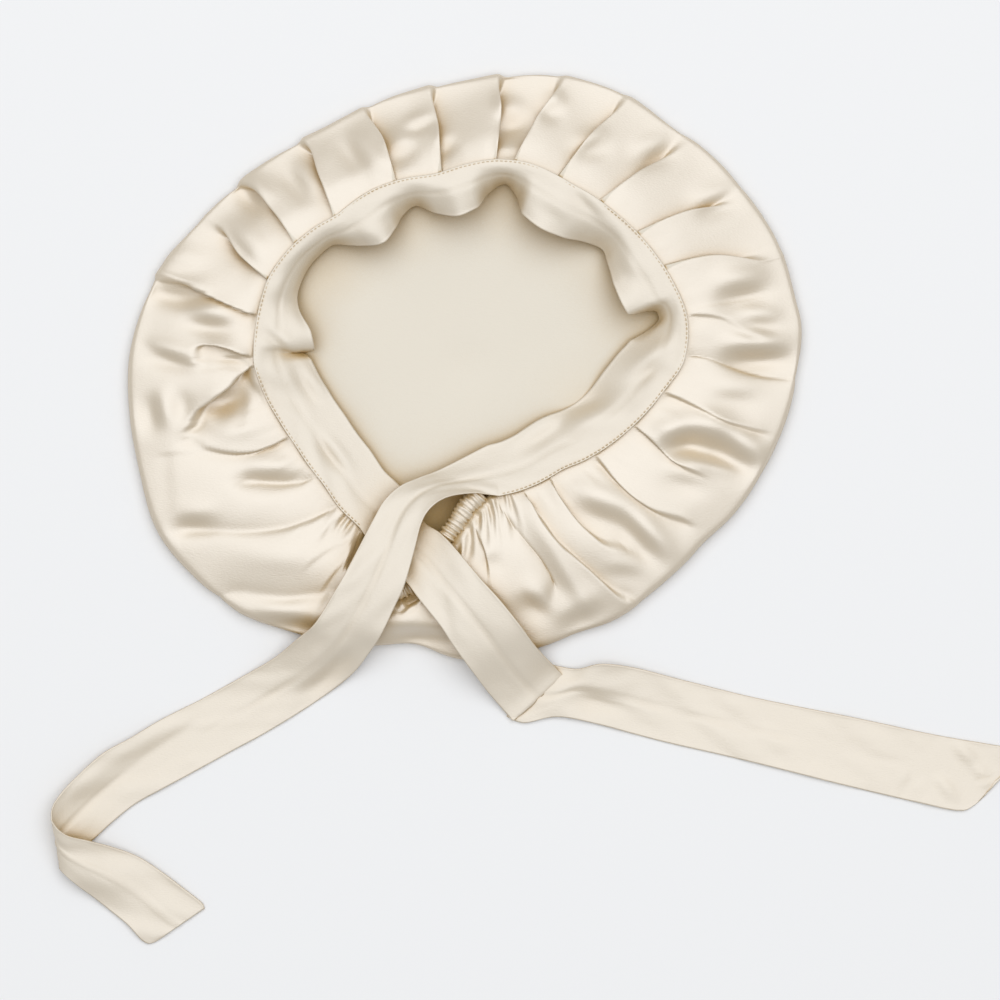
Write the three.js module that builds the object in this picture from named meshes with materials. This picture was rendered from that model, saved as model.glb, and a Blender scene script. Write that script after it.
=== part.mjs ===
// A silk sleep bonnet, lying open side up on a flat surface.
//
// The crown is one round of cloth: a flat floor, a rolled rim, and a pleated roof that puffs up
// between the rim and the mouth. A band runs round the front and sides of the mouth and hangs
// into it in waves. A ruched casing closes the nape. The band's cloth runs on past the nape as
// two ties, which cross and lie over the crown and the surface.
//
// Millimetres, +Z up. The origin is under the middle of the crown, on the surface. The nape
// faces -Y. Angles are in degrees, anticlockwise from +X.

import * as THREE from 'three';

// Driving sizes

const CLOTH = 1.2; // the crown's wall
const STRIP = 1.1; // the band and ties, a folded double layer
const STRIP_WIDTH = 29;
const CLEARANCE = 0.3; // between pieces that touch
const BUTT_GAP = 0.9; // where a tie takes over from the band
const MOUTH_RADIUS = 92; // mean radius of the band's sewn edge
const RIM_RADIUS = 145; // mean radius of the crown's rim
const CROWN_HEIGHT = 28; // what the tables' heights are shares of
const ROLL_INSET = 8; // from the rim in to where the crown first touches the surface
const PLEAT_DEPTH = 5; // from a pleat's lip down to its valley
const MARGIN = 3; // crown cloth sewn under the band's outer edge
const CASING_WIDTH = 8.5;
const CASING_HEIGHT = 4.6;
const RUCHE_PITCH = 3.4; // one gather of the casing to the next
const LEFT_TIE_LENGTH = 338;
const RIGHT_TIE_LENGTH = 345;
const TIE_SLOPE = 0.9; // how steeply a tie comes down from the crown

// Where the band ends and the nape casing begins, going anticlockwise

const NAPE_LEFT = 239;
const NAPE_RIGHT = 284;

// The mouth's sewn edge: radius as a share of MOUTH_RADIUS, height of CROWN_HEIGHT

const MOUTH = [
  { at: 0, radius: 1.1, height: 0.58 },
  { at: 15, radius: 1.115, height: 0.64 },
  { at: 30, radius: 1.075, height: 0.7 },
  { at: 45, radius: 1.04, height: 0.74 },
  { at: 60, radius: 1.01, height: 0.77 },
  { at: 75, radius: 1.005, height: 0.78 },
  { at: 90, radius: 0.955, height: 0.78 },
  { at: 105, radius: 0.93, height: 0.78 },
  { at: 120, radius: 0.95, height: 0.76 },
  { at: 135, radius: 0.97, height: 0.73 },
  { at: 150, radius: 1.035, height: 0.68 },
  { at: 165, radius: 1.06, height: 0.6 },
  { at: 180, radius: 1.055, height: 0.5 },
  { at: 195, radius: 1.0, height: 0.42 },
  { at: 210, radius: 0.955, height: 0.38 },
  { at: 225, radius: 0.96, height: 0.38 },
  { at: 239, radius: 1.01, height: 0.38 },
  { at: 243, radius: 1.17, height: 0.38 },
  { at: 249, radius: 1.25, height: 0.38 },
  { at: 255, radius: 1.24, height: 0.39 },
  { at: 261, radius: 1.15, height: 0.4 },
  { at: 270, radius: 0.9, height: 0.44 },
  { at: 277, radius: 0.78, height: 0.46 },
  { at: 284, radius: 0.72, height: 0.47 },
  { at: 300, radius: 0.73, height: 0.44 },
  { at: 315, radius: 0.76, height: 0.42 },
  { at: 330, radius: 0.855, height: 0.44 },
  { at: 345, radius: 0.97, height: 0.5 },
];

// The rim's radius, of RIM_RADIUS, and two of the roof's heights inside it, of CROWN_HEIGHT: how
// far it bulges, and its outer edge before it rolls under

const RIM = [
  { at: 0, radius: 1.065, bulge: 0.17, edge: 0.42 },
  { at: 15, radius: 1.065, bulge: 0.15, edge: 0.42 },
  { at: 30, radius: 1.035, bulge: 0.13, edge: 0.42 },
  { at: 45, radius: 1.0, bulge: 0.12, edge: 0.42 },
  { at: 60, radius: 0.98, bulge: 0.12, edge: 0.42 },
  { at: 75, radius: 0.94, bulge: 0.12, edge: 0.42 },
  { at: 90, radius: 0.885, bulge: 0.12, edge: 0.42 },
  { at: 105, radius: 0.865, bulge: 0.12, edge: 0.42 },
  { at: 120, radius: 0.857, bulge: 0.12, edge: 0.42 },
  { at: 135, radius: 0.89, bulge: 0.13, edge: 0.42 },
  { at: 150, radius: 0.94, bulge: 0.15, edge: 0.42 },
  { at: 165, radius: 1.015, bulge: 0.18, edge: 0.42 },
  { at: 180, radius: 1.065, bulge: 0.22, edge: 0.42 },
  { at: 195, radius: 1.09, bulge: 0.24, edge: 0.4 },
  { at: 210, radius: 1.12, bulge: 0.22, edge: 0.38 },
  { at: 225, radius: 1.09, bulge: 0.2, edge: 0.36 },
  { at: 240, radius: 1.02, bulge: 0.16, edge: 0.33 },
  { at: 250, radius: 0.965, bulge: 0.12, edge: 0.3 },
  { at: 260, radius: 0.93, bulge: 0.12, edge: 0.3 },
  { at: 270, radius: 0.955, bulge: 0.18, edge: 0.33 },
  { at: 285, radius: 0.947, bulge: 0.24, edge: 0.36 },
  { at: 300, radius: 0.957, bulge: 0.26, edge: 0.38 },
  { at: 315, radius: 0.953, bulge: 0.28, edge: 0.4 },
  { at: 330, radius: 0.99, bulge: 0.26, edge: 0.42 },
  { at: 345, radius: 1.03, bulge: 0.21, edge: 0.42 },
];

// The crown's pleats: where each leaves the band, how far its lip has turned by its outer end,
// how far out it reaches (1 is the rim), its depth of PLEAT_DEPTH, and the side of its valley
// (1 anticlockwise of the lip, -1 clockwise)

const PLEATS = [
  { at: 0.3, drift: -3.7, reach: 1.0, depth: 0.95, valley: 1 },
  { at: 10.3, drift: -4.8, reach: 0.6, depth: 0.5, valley: -1 },
  { at: 22.5, drift: -4, reach: 0.78, depth: 0.5, valley: 1 },
  { at: 34.1, drift: -3.5, reach: 0.8, depth: 0.7, valley: 1 },
  { at: 47.2, drift: -2.5, reach: 0.85, depth: 0.7, valley: 1 },
  { at: 60.5, drift: -2, reach: 0.97, depth: 0.7, valley: 1 },
  { at: 73.7, drift: -2.7, reach: 1.0, depth: 0.6, valley: 1 },
  { at: 84.2, drift: -1.6, reach: 1.0, depth: 0.75, valley: -1 },
  { at: 99.8, drift: -3.2, reach: 1.0, depth: 0.65, valley: -1 },
  { at: 114.1, drift: -2.5, reach: 1.0, depth: 0.6, valley: -1 },
  { at: 130.3, drift: -3, reach: 1.0, depth: 0.75, valley: 1 },
  { at: 143.9, drift: -2, reach: 0.9, depth: 0.9, valley: 1 },
  { at: 156.2, drift: -4, reach: 0.8, depth: 1.0, valley: 1 },
  { at: 168.8, drift: -2.7, reach: 0.97, depth: 1.2, valley: 1 },
  { at: 179.2, drift: -3, reach: 0.42, depth: 1.0, valley: 1 },
  { at: 185, drift: 8, reach: 0.55, depth: 1.4, valley: 1 },
  { at: 204.3, drift: -5.7, reach: 0.58, depth: 1.2, valley: 1 },
  { at: 218.6, drift: -10.5, reach: 0.4, depth: 1.1, valley: 1 },
  { at: 229.3, drift: -16, reach: 0.85, depth: 1.1, valley: 1 },
  { at: 246, drift: -20, reach: 1.0, depth: 0.7, valley: 1 },
  { at: 287.5, drift: 3, reach: 0.75, depth: 1.1, valley: 1 },
  { at: 295, drift: 3.5, reach: 0.95, depth: 1.0, valley: 1 },
  { at: 305.2, drift: 2, reach: 0.6, depth: 0.9, valley: 1 },
  { at: 323.6, drift: -2.5, reach: 0.66, depth: 0.5, valley: -1 },
  { at: 337.9, drift: -4.5, reach: 0.55, depth: 0.8, valley: -1 },
  { at: 350.1, drift: -4, reach: 0.82, depth: 0.8, valley: -1 },
];

// Small gathers that fan out from the nape casing, of the same columns

const NAPE_GATHERS = [242.5, 250, 254, 258, 262, 266, 270, 274, 278, 282].map((at) => ({
  at,
  drift: 0,
  reach: 0.45,
  depth: 0.3,
  valley: 1,
}));

// Soft dents and puffs between the pleats: place, how far out, length along the radius and
// width round the crown (both of RIM_RADIUS), and rise of PLEAT_DEPTH (less than 0 is a dent)

const DENTS = [
  { at: 2, out: 0.55, long: 0.12, wide: 0.07, rise: -1.1 },
  { at: 14.5, out: 0.45, long: 0.11, wide: 0.07, rise: -0.9 },
  { at: 342, out: 0.6, long: 0.17, wide: 0.08, rise: -1.3 },
  { at: 331, out: 0.6, long: 0.12, wide: 0.07, rise: 0.8 },
  { at: 313, out: 0.45, long: 0.2, wide: 0.08, rise: -1.2 },
  { at: 78, out: 0.5, long: 0.08, wide: 0.05, rise: -0.8 },
  { at: 108, out: 0.45, long: 0.09, wide: 0.05, rise: -0.7 },
  { at: 162, out: 0.4, long: 0.1, wide: 0.06, rise: -0.8 },
  { at: 174.5, out: 0.5, long: 0.12, wide: 0.06, rise: -0.9 },
  { at: 190, out: 0.75, long: 0.08, wide: 0.07, rise: -1.2 },
  { at: 196, out: 0.3, long: 0.1, wide: 0.06, rise: 0.9 },
  { at: 215, out: 0.3, long: 0.08, wide: 0.05, rise: -0.9 },
  { at: 292, out: 0.5, long: 0.14, wide: 0.05, rise: 0.7 },
];

// The band's waves, by the sewn edge: how far in the free edge lies, of STRIP_WIDTH, and its
// height of CROWN_HEIGHT

const WAVES = [
  { at: 239, reach: 0.93, height: 0.1 },
  { at: 225, reach: 0.93, height: 0.085 },
  { at: 210, reach: 0.93, height: 0.085 },
  { at: 196, reach: 0.92, height: 0.085 },
  { at: 184, reach: 0.9, height: 0.1 },
  { at: 176, reach: 0.86, height: 0.26 },
  { at: 168, reach: 0.75, height: 0.34 },
  { at: 160, reach: 0.5, height: 0.2 },
  { at: 153, reach: 0.34, height: 0.1 },
  { at: 145, reach: 0.32, height: 0.1 },
  { at: 138, reach: 0.34, height: 0.12 },
  { at: 131, reach: 0.62, height: 0.42 },
  { at: 125, reach: 0.8, height: 0.58 },
  { at: 118, reach: 0.7, height: 0.48 },
  { at: 112, reach: 0.5, height: 0.24 },
  { at: 107, reach: 0.4, height: 0.14 },
  { at: 101, reach: 0.6, height: 0.42 },
  { at: 95, reach: 0.74, height: 0.62 },
  { at: 90, reach: 0.7, height: 0.56 },
  { at: 84, reach: 0.46, height: 0.26 },
  { at: 78, reach: 0.32, height: 0.1 },
  { at: 73, reach: 0.5, height: 0.22 },
  { at: 68, reach: 0.78, height: 0.52 },
  { at: 60, reach: 0.85, height: 0.6 },
  { at: 53, reach: 0.8, height: 0.5 },
  { at: 46, reach: 0.64, height: 0.28 },
  { at: 40, reach: 0.54, height: 0.16 },
  { at: 35, reach: 0.66, height: 0.26 },
  { at: 28, reach: 0.82, height: 0.46 },
  { at: 21, reach: 0.88, height: 0.54 },
  { at: 15, reach: 0.66, height: 0.36 },
  { at: 10, reach: 0.54, height: 0.14 },
  { at: 5, reach: 0.74, height: 0.12 },
  { at: -2, reach: 0.93, height: 0.12 },
  { at: -12, reach: 0.95, height: 0.1 },
  { at: -25, reach: 0.92, height: 0.085 },
  { at: -40, reach: 0.9, height: 0.085 },
  { at: -52, reach: 0.88, height: 0.1 },
  { at: -64, reach: 0.86, height: 0.15 },
  { at: -76, reach: 0.84, height: 0.22 },
];

// The ties' sections from the band's ends: run from the section before, of the tie's length;
// heading; bearing of the cut across, where it isn't square; tilt, with the left edge up;
// layers of strip underneath; and arch, a lift of STRIP_WIDTH

const LEFT_TIE = [
  { run: 0.075, heading: 191, tilt: 8, layers: 1.2 },
  { run: 0.059, heading: 217, tilt: 8, layers: 2.2 },
  { run: 0.051, heading: 243, tilt: 4, layers: 2.4 },
  { run: 0.049, heading: 249, tilt: 0, layers: 2.2 },
  { run: 0.051, heading: 239, tilt: 0, layers: 0.8 },
  { run: 0.06, heading: 238, tilt: 0 },
  { run: 0.058, heading: 223, tilt: 0 },
  { run: 0.095, heading: 209, tilt: 0 },
  { run: 0.109, heading: 208, tilt: -4 },
  { run: 0.087, heading: 210, tilt: -14 },
  { run: 0.048, heading: 213, tilt: -30 },
  { run: 0.042, heading: 225, tilt: -56 },
  { run: 0.03, heading: 265, tilt: -98 },
  { run: 0.024, heading: 317, tilt: -124 },
  { run: 0.045, heading: 336, tilt: -141 },
  { run: 0.033, heading: 327, tilt: -158 },
  { run: 0.042, heading: 320, tilt: -172 },
  { run: 0.036, heading: 320, tilt: -179, across: 396 },
];

const RIGHT_TIE = [
  { run: 0.111, heading: 312, tilt: 0 },
  { run: 0.084, heading: 307, tilt: 0 },
  { run: 0.067, heading: 308, tilt: 0 },
  { run: 0.055, heading: 309, tilt: 0, layers: 1.6 },
  { run: 0.013, heading: 309, tilt: 0, layers: 2, across: 402 },
  { run: 0.003, heading: 309, tilt: 0, layers: 1.5, across: 402 },
  { run: 0.003, heading: 129, tilt: 0, layers: 1, across: 402 },
  { run: 0.016, heading: 129, tilt: 0, layers: 1, across: 410 },
  { run: 0.003, heading: 129, tilt: 0, layers: 0.5, across: 412 },
  { run: 0.003, heading: 349, tilt: 0, layers: 0, across: 414 },
  { run: 0.045, heading: 357, tilt: 0, layers: 0, across: 430, arch: 0.05 },
  { run: 0.045, heading: 3, tilt: 8, arch: 0.16 },
  { run: 0.062, heading: 350, tilt: 5, arch: 0.03 },
  { run: 0.069, heading: 347, tilt: 0 },
  { run: 0.137, heading: 346.5, tilt: 0 },
  { run: 0.137, heading: 347.6, tilt: 0 },
  { run: 0.08, heading: 348.7, tilt: 0 },
  { run: 0.062, heading: 347.5, tilt: 0, across: 402 },
];

// Small mathematics

const radians = THREE.MathUtils.degToRad;
const lerp = THREE.MathUtils.lerp;
const clamp = THREE.MathUtils.clamp;
const smooth = (x, from, to) => THREE.MathUtils.smoothstep(x, from, to);
const turn = (degrees) => THREE.MathUtils.euclideanModulo(degrees, 360);

// A curve through a table's column that doesn't overshoot its rows. It closes after 360 degrees.
function around(rows, column) {
  const sorted = [...rows].sort((a, b) => turn(a.at) - turn(b.at));
  const count = sorted.length;
  const at = (i) => turn(sorted[((i % count) + count) % count].at) + 360 * Math.floor(i / count);
  const value = (i) => sorted[((i % count) + count) % count][column];
  const slope = (i) => (value(i + 1) - value(i)) / (at(i + 1) - at(i));
  const tangent = (i) => {
    const [before, after] = [slope(i - 1), slope(i)];
    return before * after <= 0 ? 0 : (2 * before * after) / (before + after);
  };
  return (degrees) => {
    const x = turn(degrees);
    let i = count - 1;
    while (i >= 0 && at(i) > x) i -= 1;
    const step = at(i + 1) - at(i);
    const t = (x - at(i)) / step;
    const [t2, t3] = [t * t, t * t * t];
    return (
      (2 * t3 - 3 * t2 + 1) * value(i) +
      (t3 - 2 * t2 + t) * step * tangent(i) +
      (-2 * t3 + 3 * t2) * value(i + 1) +
      (t3 - t2) * step * tangent(i + 1)
    );
  };
}

const mouthRadius = around(MOUTH, 'radius');
const mouthHeight = around(MOUTH, 'height');
const rimRadius = around(RIM, 'radius');
const roofBulge = around(RIM, 'bulge');
const roofEdge = around(RIM, 'edge');
const waveReach = around(WAVES, 'reach');
const waveHeight = around(WAVES, 'height');

// The crown's roof, from the mouth (out 0) to the rim (out 1)

const ROLL_HEIGHT = 0.16 * CROWN_HEIGHT; // the rim's widest line above the surface
const ROLL_POWER = 6; // how late the roof turns down to the rim

const seamRadius = (at) => mouthRadius(at) * MOUTH_RADIUS;
const seamHeight = (at) => mouthHeight(at) * CROWN_HEIGHT;
const outerRadius = (at) => rimRadius(at) * RIM_RADIUS;

function roofHeight(at, out) {
  const slope = lerp(mouthHeight(at), roofEdge(at), out) * CROWN_HEIGHT;
  const top = slope + 4 * roofBulge(at) * CROWN_HEIGHT * out * (1 - out);
  return lerp(ROLL_HEIGHT, top, Math.sqrt(1 - clamp(out, 0, 1) ** ROLL_POWER));
}

function seamSlope(at) {
  const rise = (roofEdge(at) - mouthHeight(at) + 4 * roofBulge(at)) * CROWN_HEIGHT;
  return rise / (outerRadius(at) - seamRadius(at));
}

// The sewn edge: its point, and the level directions along and out from it

function seamFrame(at) {
  const spot = (degrees) => {
    const r = seamRadius(degrees);
    return new THREE.Vector2(r * Math.cos(radians(degrees)), r * Math.sin(radians(degrees)));
  };
  const along = spot(at + 0.5).sub(spot(at - 0.5)).normalize();
  return { point: spot(at), out: new THREE.Vector2(along.y, -along.x), height: seamHeight(at) };
}

// Pleats: a lip that rises to its edge, a sharp fall, and a valley that fades out

const FOLDS = [...PLEATS, ...NAPE_GATHERS].sort((a, b) => a.at - b.at);
const LIP_RUN = 11; // the lip's rise, round the crown
const VALLEY_RUN = 8;
const LIP_FALL = 0.9; // degrees from a lip to its valley

// Angle from one place to another round the circle, between -180 and 180
const apart = (from, to) => turn(to - from + 180) - 180;

// How far the pleats' drift has turned a column, at a share out
function driftAt(column, out) {
  const next = Math.max(0, FOLDS.findIndex((fold) => fold.at > column));
  const after = FOLDS[next];
  const before = FOLDS[(next - 1 + FOLDS.length) % FOLDS.length];
  const drifted = (fold) => fold.drift * Math.min(1, out / fold.reach);
  const share = turn(column - before.at) / turn(after.at - before.at);
  return lerp(drifted(before), drifted(after), share);
}

function pleatRise(column, out, radius) {
  let rise = 0;
  for (const fold of FOLDS) {
    const across = radians(apart(fold.at, column)) * radius * fold.valley;
    const start = smooth(out, 0, 0.1);
    const fade = 1 - smooth(out, 0.45 * fold.reach, fold.reach);
    const size = 0.5 * fold.depth * PLEAT_DEPTH * start * fade;
    rise += across <= 0 ? size * Math.exp(across / LIP_RUN) : -size * Math.exp(-across / VALLEY_RUN);
  }
  return rise;
}

function dentRise(at, out, radius) {
  let rise = 0;
  for (const dent of DENTS) {
    const across = (radians(apart(dent.at, at)) * radius) / (dent.wide * RIM_RADIUS);
    const width = outerRadius(dent.at) - seamRadius(dent.at);
    const along = ((out - dent.out) * width) / (dent.long * RIM_RADIUS);
    rise += dent.rise * PLEAT_DEPTH * Math.exp(-across * across - along * along);
  }
  return rise * (1 - smooth(out, 0.85, 1)) * smooth(out, 0, 0.15);
}

function crownPoint(column, out) {
  const at = column + driftAt(column, out);
  const radius = lerp(seamRadius(at), outerRadius(at), out);
  const step = 0.01;
  const rise = roofHeight(at, Math.min(1, out + step)) - roofHeight(at, out - step);
  const run = (outerRadius(at) - seamRadius(at)) * (Math.min(1, out + step) - out + step);
  const normal = new THREE.Vector2(-rise, run).normalize();
  const lift = pleatRise(column, out, radius) + dentRise(at, out, radius);
  const r = radius + normal.x * lift;
  const z = roofHeight(at, out) + normal.y * lift;
  return new THREE.Vector3(r * Math.cos(radians(at)), r * Math.sin(radians(at)), z);
}

// Meshes

const list = (count, make) => Array.from({ length: count }, (_, i) => make(i));
const grid = (rows, columns, make) => list(rows, (row) => list(columns, (column) => make(row, column)));

function toGeometry(points, triangles) {
  let volume = 0;
  for (const [a, b, c] of triangles) {
    volume += points[a].dot(new THREE.Vector3().crossVectors(points[b], points[c]));
  }
  const faces = volume < 0 ? triangles.map(([a, b, c]) => [a, c, b]) : triangles;
  const geometry = new THREE.BufferGeometry();
  const flat = points.flatMap((p) => [p.x, p.y, p.z]);
  geometry.setAttribute('position', new THREE.Float32BufferAttribute(flat, 3));
  geometry.setIndex(faces.flat());
  geometry.computeVertexNormals();
  return geometry;
}

// The normal at each point of a grid of points, from its neighbours
function gridNormals(points, closed) {
  const [rows, columns] = [points.length, points[0].length];
  const clampRow = (row) => clamp(row, 0, rows - 1);
  const wrap = (column) => (closed ? (column + columns) % columns : clamp(column, 0, columns - 1));
  return grid(rows, columns, (row, column) => {
    const down = points[clampRow(row + 1)][column].clone().sub(points[clampRow(row - 1)][column]);
    const across = points[row][wrap(column + 1)].clone().sub(points[row][wrap(column - 1)]);
    return down.cross(across).normalize();
  });
}

// A closed body between two equal grids of points: both skins, the long sides and the ends
function slabGeometry(top, bottom) {
  const [rows, columns] = [top.length, top[0].length];
  const points = [...top.flat(), ...bottom.flat()];
  const over = (row, column) => row * columns + column;
  const under = (row, column) => rows * columns + over(row, column);
  const triangles = [];
  const quad = (a, b, c, d) => triangles.push([a, b, c], [a, c, d]);
  for (let row = 0; row < rows - 1; row += 1) {
    for (let column = 0; column < columns - 1; column += 1) {
      const [down, next] = [row + 1, column + 1];
      quad(over(row, column), over(down, column), over(down, next), over(row, next));
      quad(under(row, column), under(row, next), under(down, next), under(down, column));
    }
    const last = columns - 1;
    quad(over(row, 0), under(row, 0), under(row + 1, 0), over(row + 1, 0));
    quad(over(row, last), over(row + 1, last), under(row + 1, last), under(row, last));
  }
  for (let column = 0; column < columns - 1; column += 1) {
    const last = rows - 1;
    quad(over(0, column), over(0, column + 1), under(0, column + 1), under(0, column));
    const next = column + 1;
    quad(over(last, column), under(last, column), under(last, next), over(last, next));
  }
  return toGeometry(points, triangles);
}

// The crown: rings of points from the margin under the band out to the rim and in to the middle

const ROOF_RINGS = [0, 0.1, 0.24, 0.4, 0.56, 0.72, 0.86, 0.95, 1];
const ROLL_STEPS = 3;
const FLOOR_RINGS = [0.66, 0.3];
const COLUMN_STEP = 4.6; // degrees

// Two columns at each pleat, its lip and its valley, and even ones between pleats
function crownColumns() {
  const edges = FOLDS.flatMap(({ at, valley }) =>
    valley > 0 ? [at, at + LIP_FALL] : [at - LIP_FALL, at],
  );
  return edges.flatMap((edge, i) => {
    const span = turn(edges[(i + 1) % edges.length] - edge);
    const cuts = Math.max(1, Math.round(span / COLUMN_STEP));
    return list(cuts, (k) => edge + (span * k) / cuts);
  });
}

function crownGeometry() {
  const columns = crownColumns();
  const ring = (make) => columns.map((column) => make(column));
  const outer = [];
  outer.push(
    ring((column) => {
      const seam = seamFrame(column);
      const spot = seam.point.clone().addScaledVector(seam.out, -MARGIN);
      return new THREE.Vector3(spot.x, spot.y, seam.height - seamSlope(column) * MARGIN);
    }),
  );
  for (const out of ROOF_RINGS) outer.push(ring((column) => crownPoint(column, out)));
  const rimRing = outer[outer.length - 1];
  const foot = (rim, share) => {
    const angle = (share * Math.PI) / 2;
    const radius = Math.hypot(rim.x, rim.y);
    const r = (radius - ROLL_INSET * (1 - Math.cos(angle))) / radius;
    return new THREE.Vector3(rim.x * r, rim.y * r, rim.z * (1 - Math.sin(angle)));
  };
  for (let step = 1; step <= ROLL_STEPS; step += 1) {
    outer.push(rimRing.map((rim) => foot(rim, step / ROLL_STEPS)));
  }
  const footRing = outer[outer.length - 1];
  for (const share of FLOOR_RINGS) {
    outer.push(footRing.map((p) => new THREE.Vector3(p.x * share, p.y * share, 0)));
  }

  // The way from each outer point to the inner wall: down under the roof, in and up round the
  // roll, and up from the floor
  const normals = gridNormals(outer, true);
  const rimRow = ROOF_RINGS.length;
  const inward = (row, column) => {
    if (row < rimRow) {
      const normal = normals[row][column].clone();
      return normal.z > 0 ? normal.negate() : normal;
    }
    const angle = Math.min(1, (row - rimRow) / ROLL_STEPS) * (Math.PI / 2);
    const { x, y } = rimRing[column].clone().setZ(0).normalize();
    return new THREE.Vector3(-x * Math.cos(angle), -y * Math.cos(angle), Math.sin(angle));
  };
  const inner = grid(outer.length, columns.length, (row, column) =>
    outer[row][column].clone().addScaledVector(inward(row, column), CLOTH),
  );

  const [rows, count] = [outer.length, columns.length];
  const poles = [new THREE.Vector3(0, 0, 0), new THREE.Vector3(0, 0, CLOTH)];
  const points = [...outer.flat(), ...inner.flat(), ...poles];
  const outside = (row, column) => row * count + (column % count);
  const inside = (row, column) => rows * count + outside(row, column);
  const [poleOutside, poleInside] = [points.length - 2, points.length - 1];
  const triangles = [];
  const quad = (a, b, c, d) => triangles.push([a, b, c], [a, c, d]);
  for (let column = 0; column < count; column += 1) {
    const next = column + 1;
    for (let row = 0; row < rows - 1; row += 1) {
      const down = row + 1;
      quad(outside(row, column), outside(down, column), outside(down, next), outside(row, next));
      quad(inside(row, column), inside(row, next), inside(down, next), inside(down, column));
    }
    quad(outside(0, column), outside(0, next), inside(0, next), inside(0, column));
    triangles.push([outside(rows - 1, column), poleOutside, outside(rows - 1, next)]);
    triangles.push([inside(rows - 1, column), inside(rows - 1, next), poleInside]);
  }
  return toGeometry(points, triangles);
}

// The band: a section across the strip at each angle, lying on the crown's margin at its sewn
// edge and curving down to its free edge

const BAND_STEP = 3.2; // degrees from section to section
const BAND_RISE = 2.6 * CLEARANCE + STRIP / 2; // from the crown's margin up to the strip's middle
const BAND_BEND = 0.3; // of STRIP_WIDTH, how far past the margin the band keeps the margin's slope
const BAND_CUTS = 3; // pieces of its curve down to the free edge

function bandSection(at) {
  const seam = seamFrame(at);
  const slope = Math.atan(seamSlope(at));
  const place = (inward, height) => {
    const spot = seam.point.clone().addScaledVector(seam.out, -inward);
    return new THREE.Vector3(spot.x, spot.y, height);
  };
  const onMargin = (length) =>
    place(
      length * Math.cos(slope) + BAND_RISE * Math.sin(slope),
      seam.height - length * Math.sin(slope) + BAND_RISE * Math.cos(slope),
    );
  const start = onMargin(MARGIN + CLEARANCE);
  const bend = onMargin(MARGIN + BAND_BEND * STRIP_WIDTH);
  const freeHeight = Math.max(waveHeight(at) * CROWN_HEIGHT, CLOTH + CLEARANCE + STRIP);
  const free = place(waveReach(at) * STRIP_WIDTH, freeHeight);
  const points = [onMargin(0)];
  for (let k = 0; k <= BAND_CUTS; k += 1) {
    const t = k / BAND_CUTS;
    const a = start.clone().lerp(bend, t);
    const b = bend.clone().lerp(free, t);
    points.push(a.lerp(b, t));
  }
  return points;
}

function thicken(middle, thickness) {
  const normals = gridNormals(middle, false);
  const skin = (rise) =>
    middle.map((row, i) => row.map((p, j) => p.clone().addScaledVector(normals[i][j], rise)));
  return slabGeometry(skin(thickness / 2), skin(-thickness / 2));
}

function bandGeometry() {
  const span = 360 - (NAPE_RIGHT - NAPE_LEFT);
  const count = Math.round(span / BAND_STEP);
  return thicken(
    list(count + 1, (i) => bandSection(NAPE_LEFT - (span * i) / count)),
    STRIP,
  );
}

// The nape casing: an oval tube with a gather every RUCHE_PITCH

const CASING_SIDES = 8;
const CASING_STEP = 0.25; // degrees from point to point of its middle line
const CASING_END_GAP = 2.4; // degrees from each end of the band
const RUCHE = 0.13; // how far each gather stands out, of the oval

function casingGeometry() {
  const line = [];
  const halfWidth = CASING_WIDTH / 2;
  const [start, end] = [NAPE_LEFT + CASING_END_GAP, NAPE_RIGHT - CASING_END_GAP];
  for (let at = start; at <= end; at += CASING_STEP) {
    const seam = seamFrame(at);
    const inset = MARGIN + CLEARANCE + halfWidth * (1 + RUCHE);
    const spot = seam.point.clone().addScaledVector(seam.out, -inset);
    const height = seam.height - seamSlope(at) * MARGIN - CLOTH;
    line.push(new THREE.Vector3(spot.x, spot.y, height));
  }
  const path = new THREE.CatmullRomCurve3(line);
  const half = Math.round((2 * path.getLength()) / RUCHE_PITCH);
  const points = [];
  for (let i = 0; i <= half; i += 1) {
    const spot = path.getPointAt(i / half);
    const along = path.getTangentAt(i / half).setZ(0).normalize();
    const side = new THREE.Vector3(along.y, -along.x, 0);
    const swell = 1 + (i % 2 ? RUCHE : -RUCHE);
    for (let k = 0; k < CASING_SIDES; k += 1) {
      const angle = (2 * Math.PI * (k + 0.5)) / CASING_SIDES;
      const p = spot.clone().addScaledVector(side, Math.cos(angle) * halfWidth * swell);
      p.z += (Math.sin(angle) * CASING_HEIGHT * swell) / 2;
      points.push(p);
    }
  }
  const triangles = [];
  const index = (ring, k) => ring * CASING_SIDES + (k % CASING_SIDES);
  for (let ring = 0; ring < half; ring += 1) {
    for (let k = 0; k < CASING_SIDES; k += 1) {
      triangles.push([index(ring, k), index(ring, k + 1), index(ring + 1, k + 1)]);
      triangles.push([index(ring, k), index(ring + 1, k + 1), index(ring + 1, k)]);
    }
  }
  for (let k = 1; k < CASING_SIDES - 1; k += 1) {
    triangles.push([index(0, 0), index(0, k + 1), index(0, k)]);
    triangles.push([index(half, 0), index(half, k), index(half, k + 1)]);
  }
  return toGeometry(points, triangles);
}

// The ties: laid over whatever is under them, section by section

const LAYER = STRIP + 2 * CLEARANCE; // one strip lying on another
const REST_GAP = 3.2; // room for the crown's folds under a tie
const NAPE_SPAN = 8; // degrees past each end of the casing that a tie stays up
const NAPE_DEPTH = 0.3; // of the mouth's radius, how far in it stays up there

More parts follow.
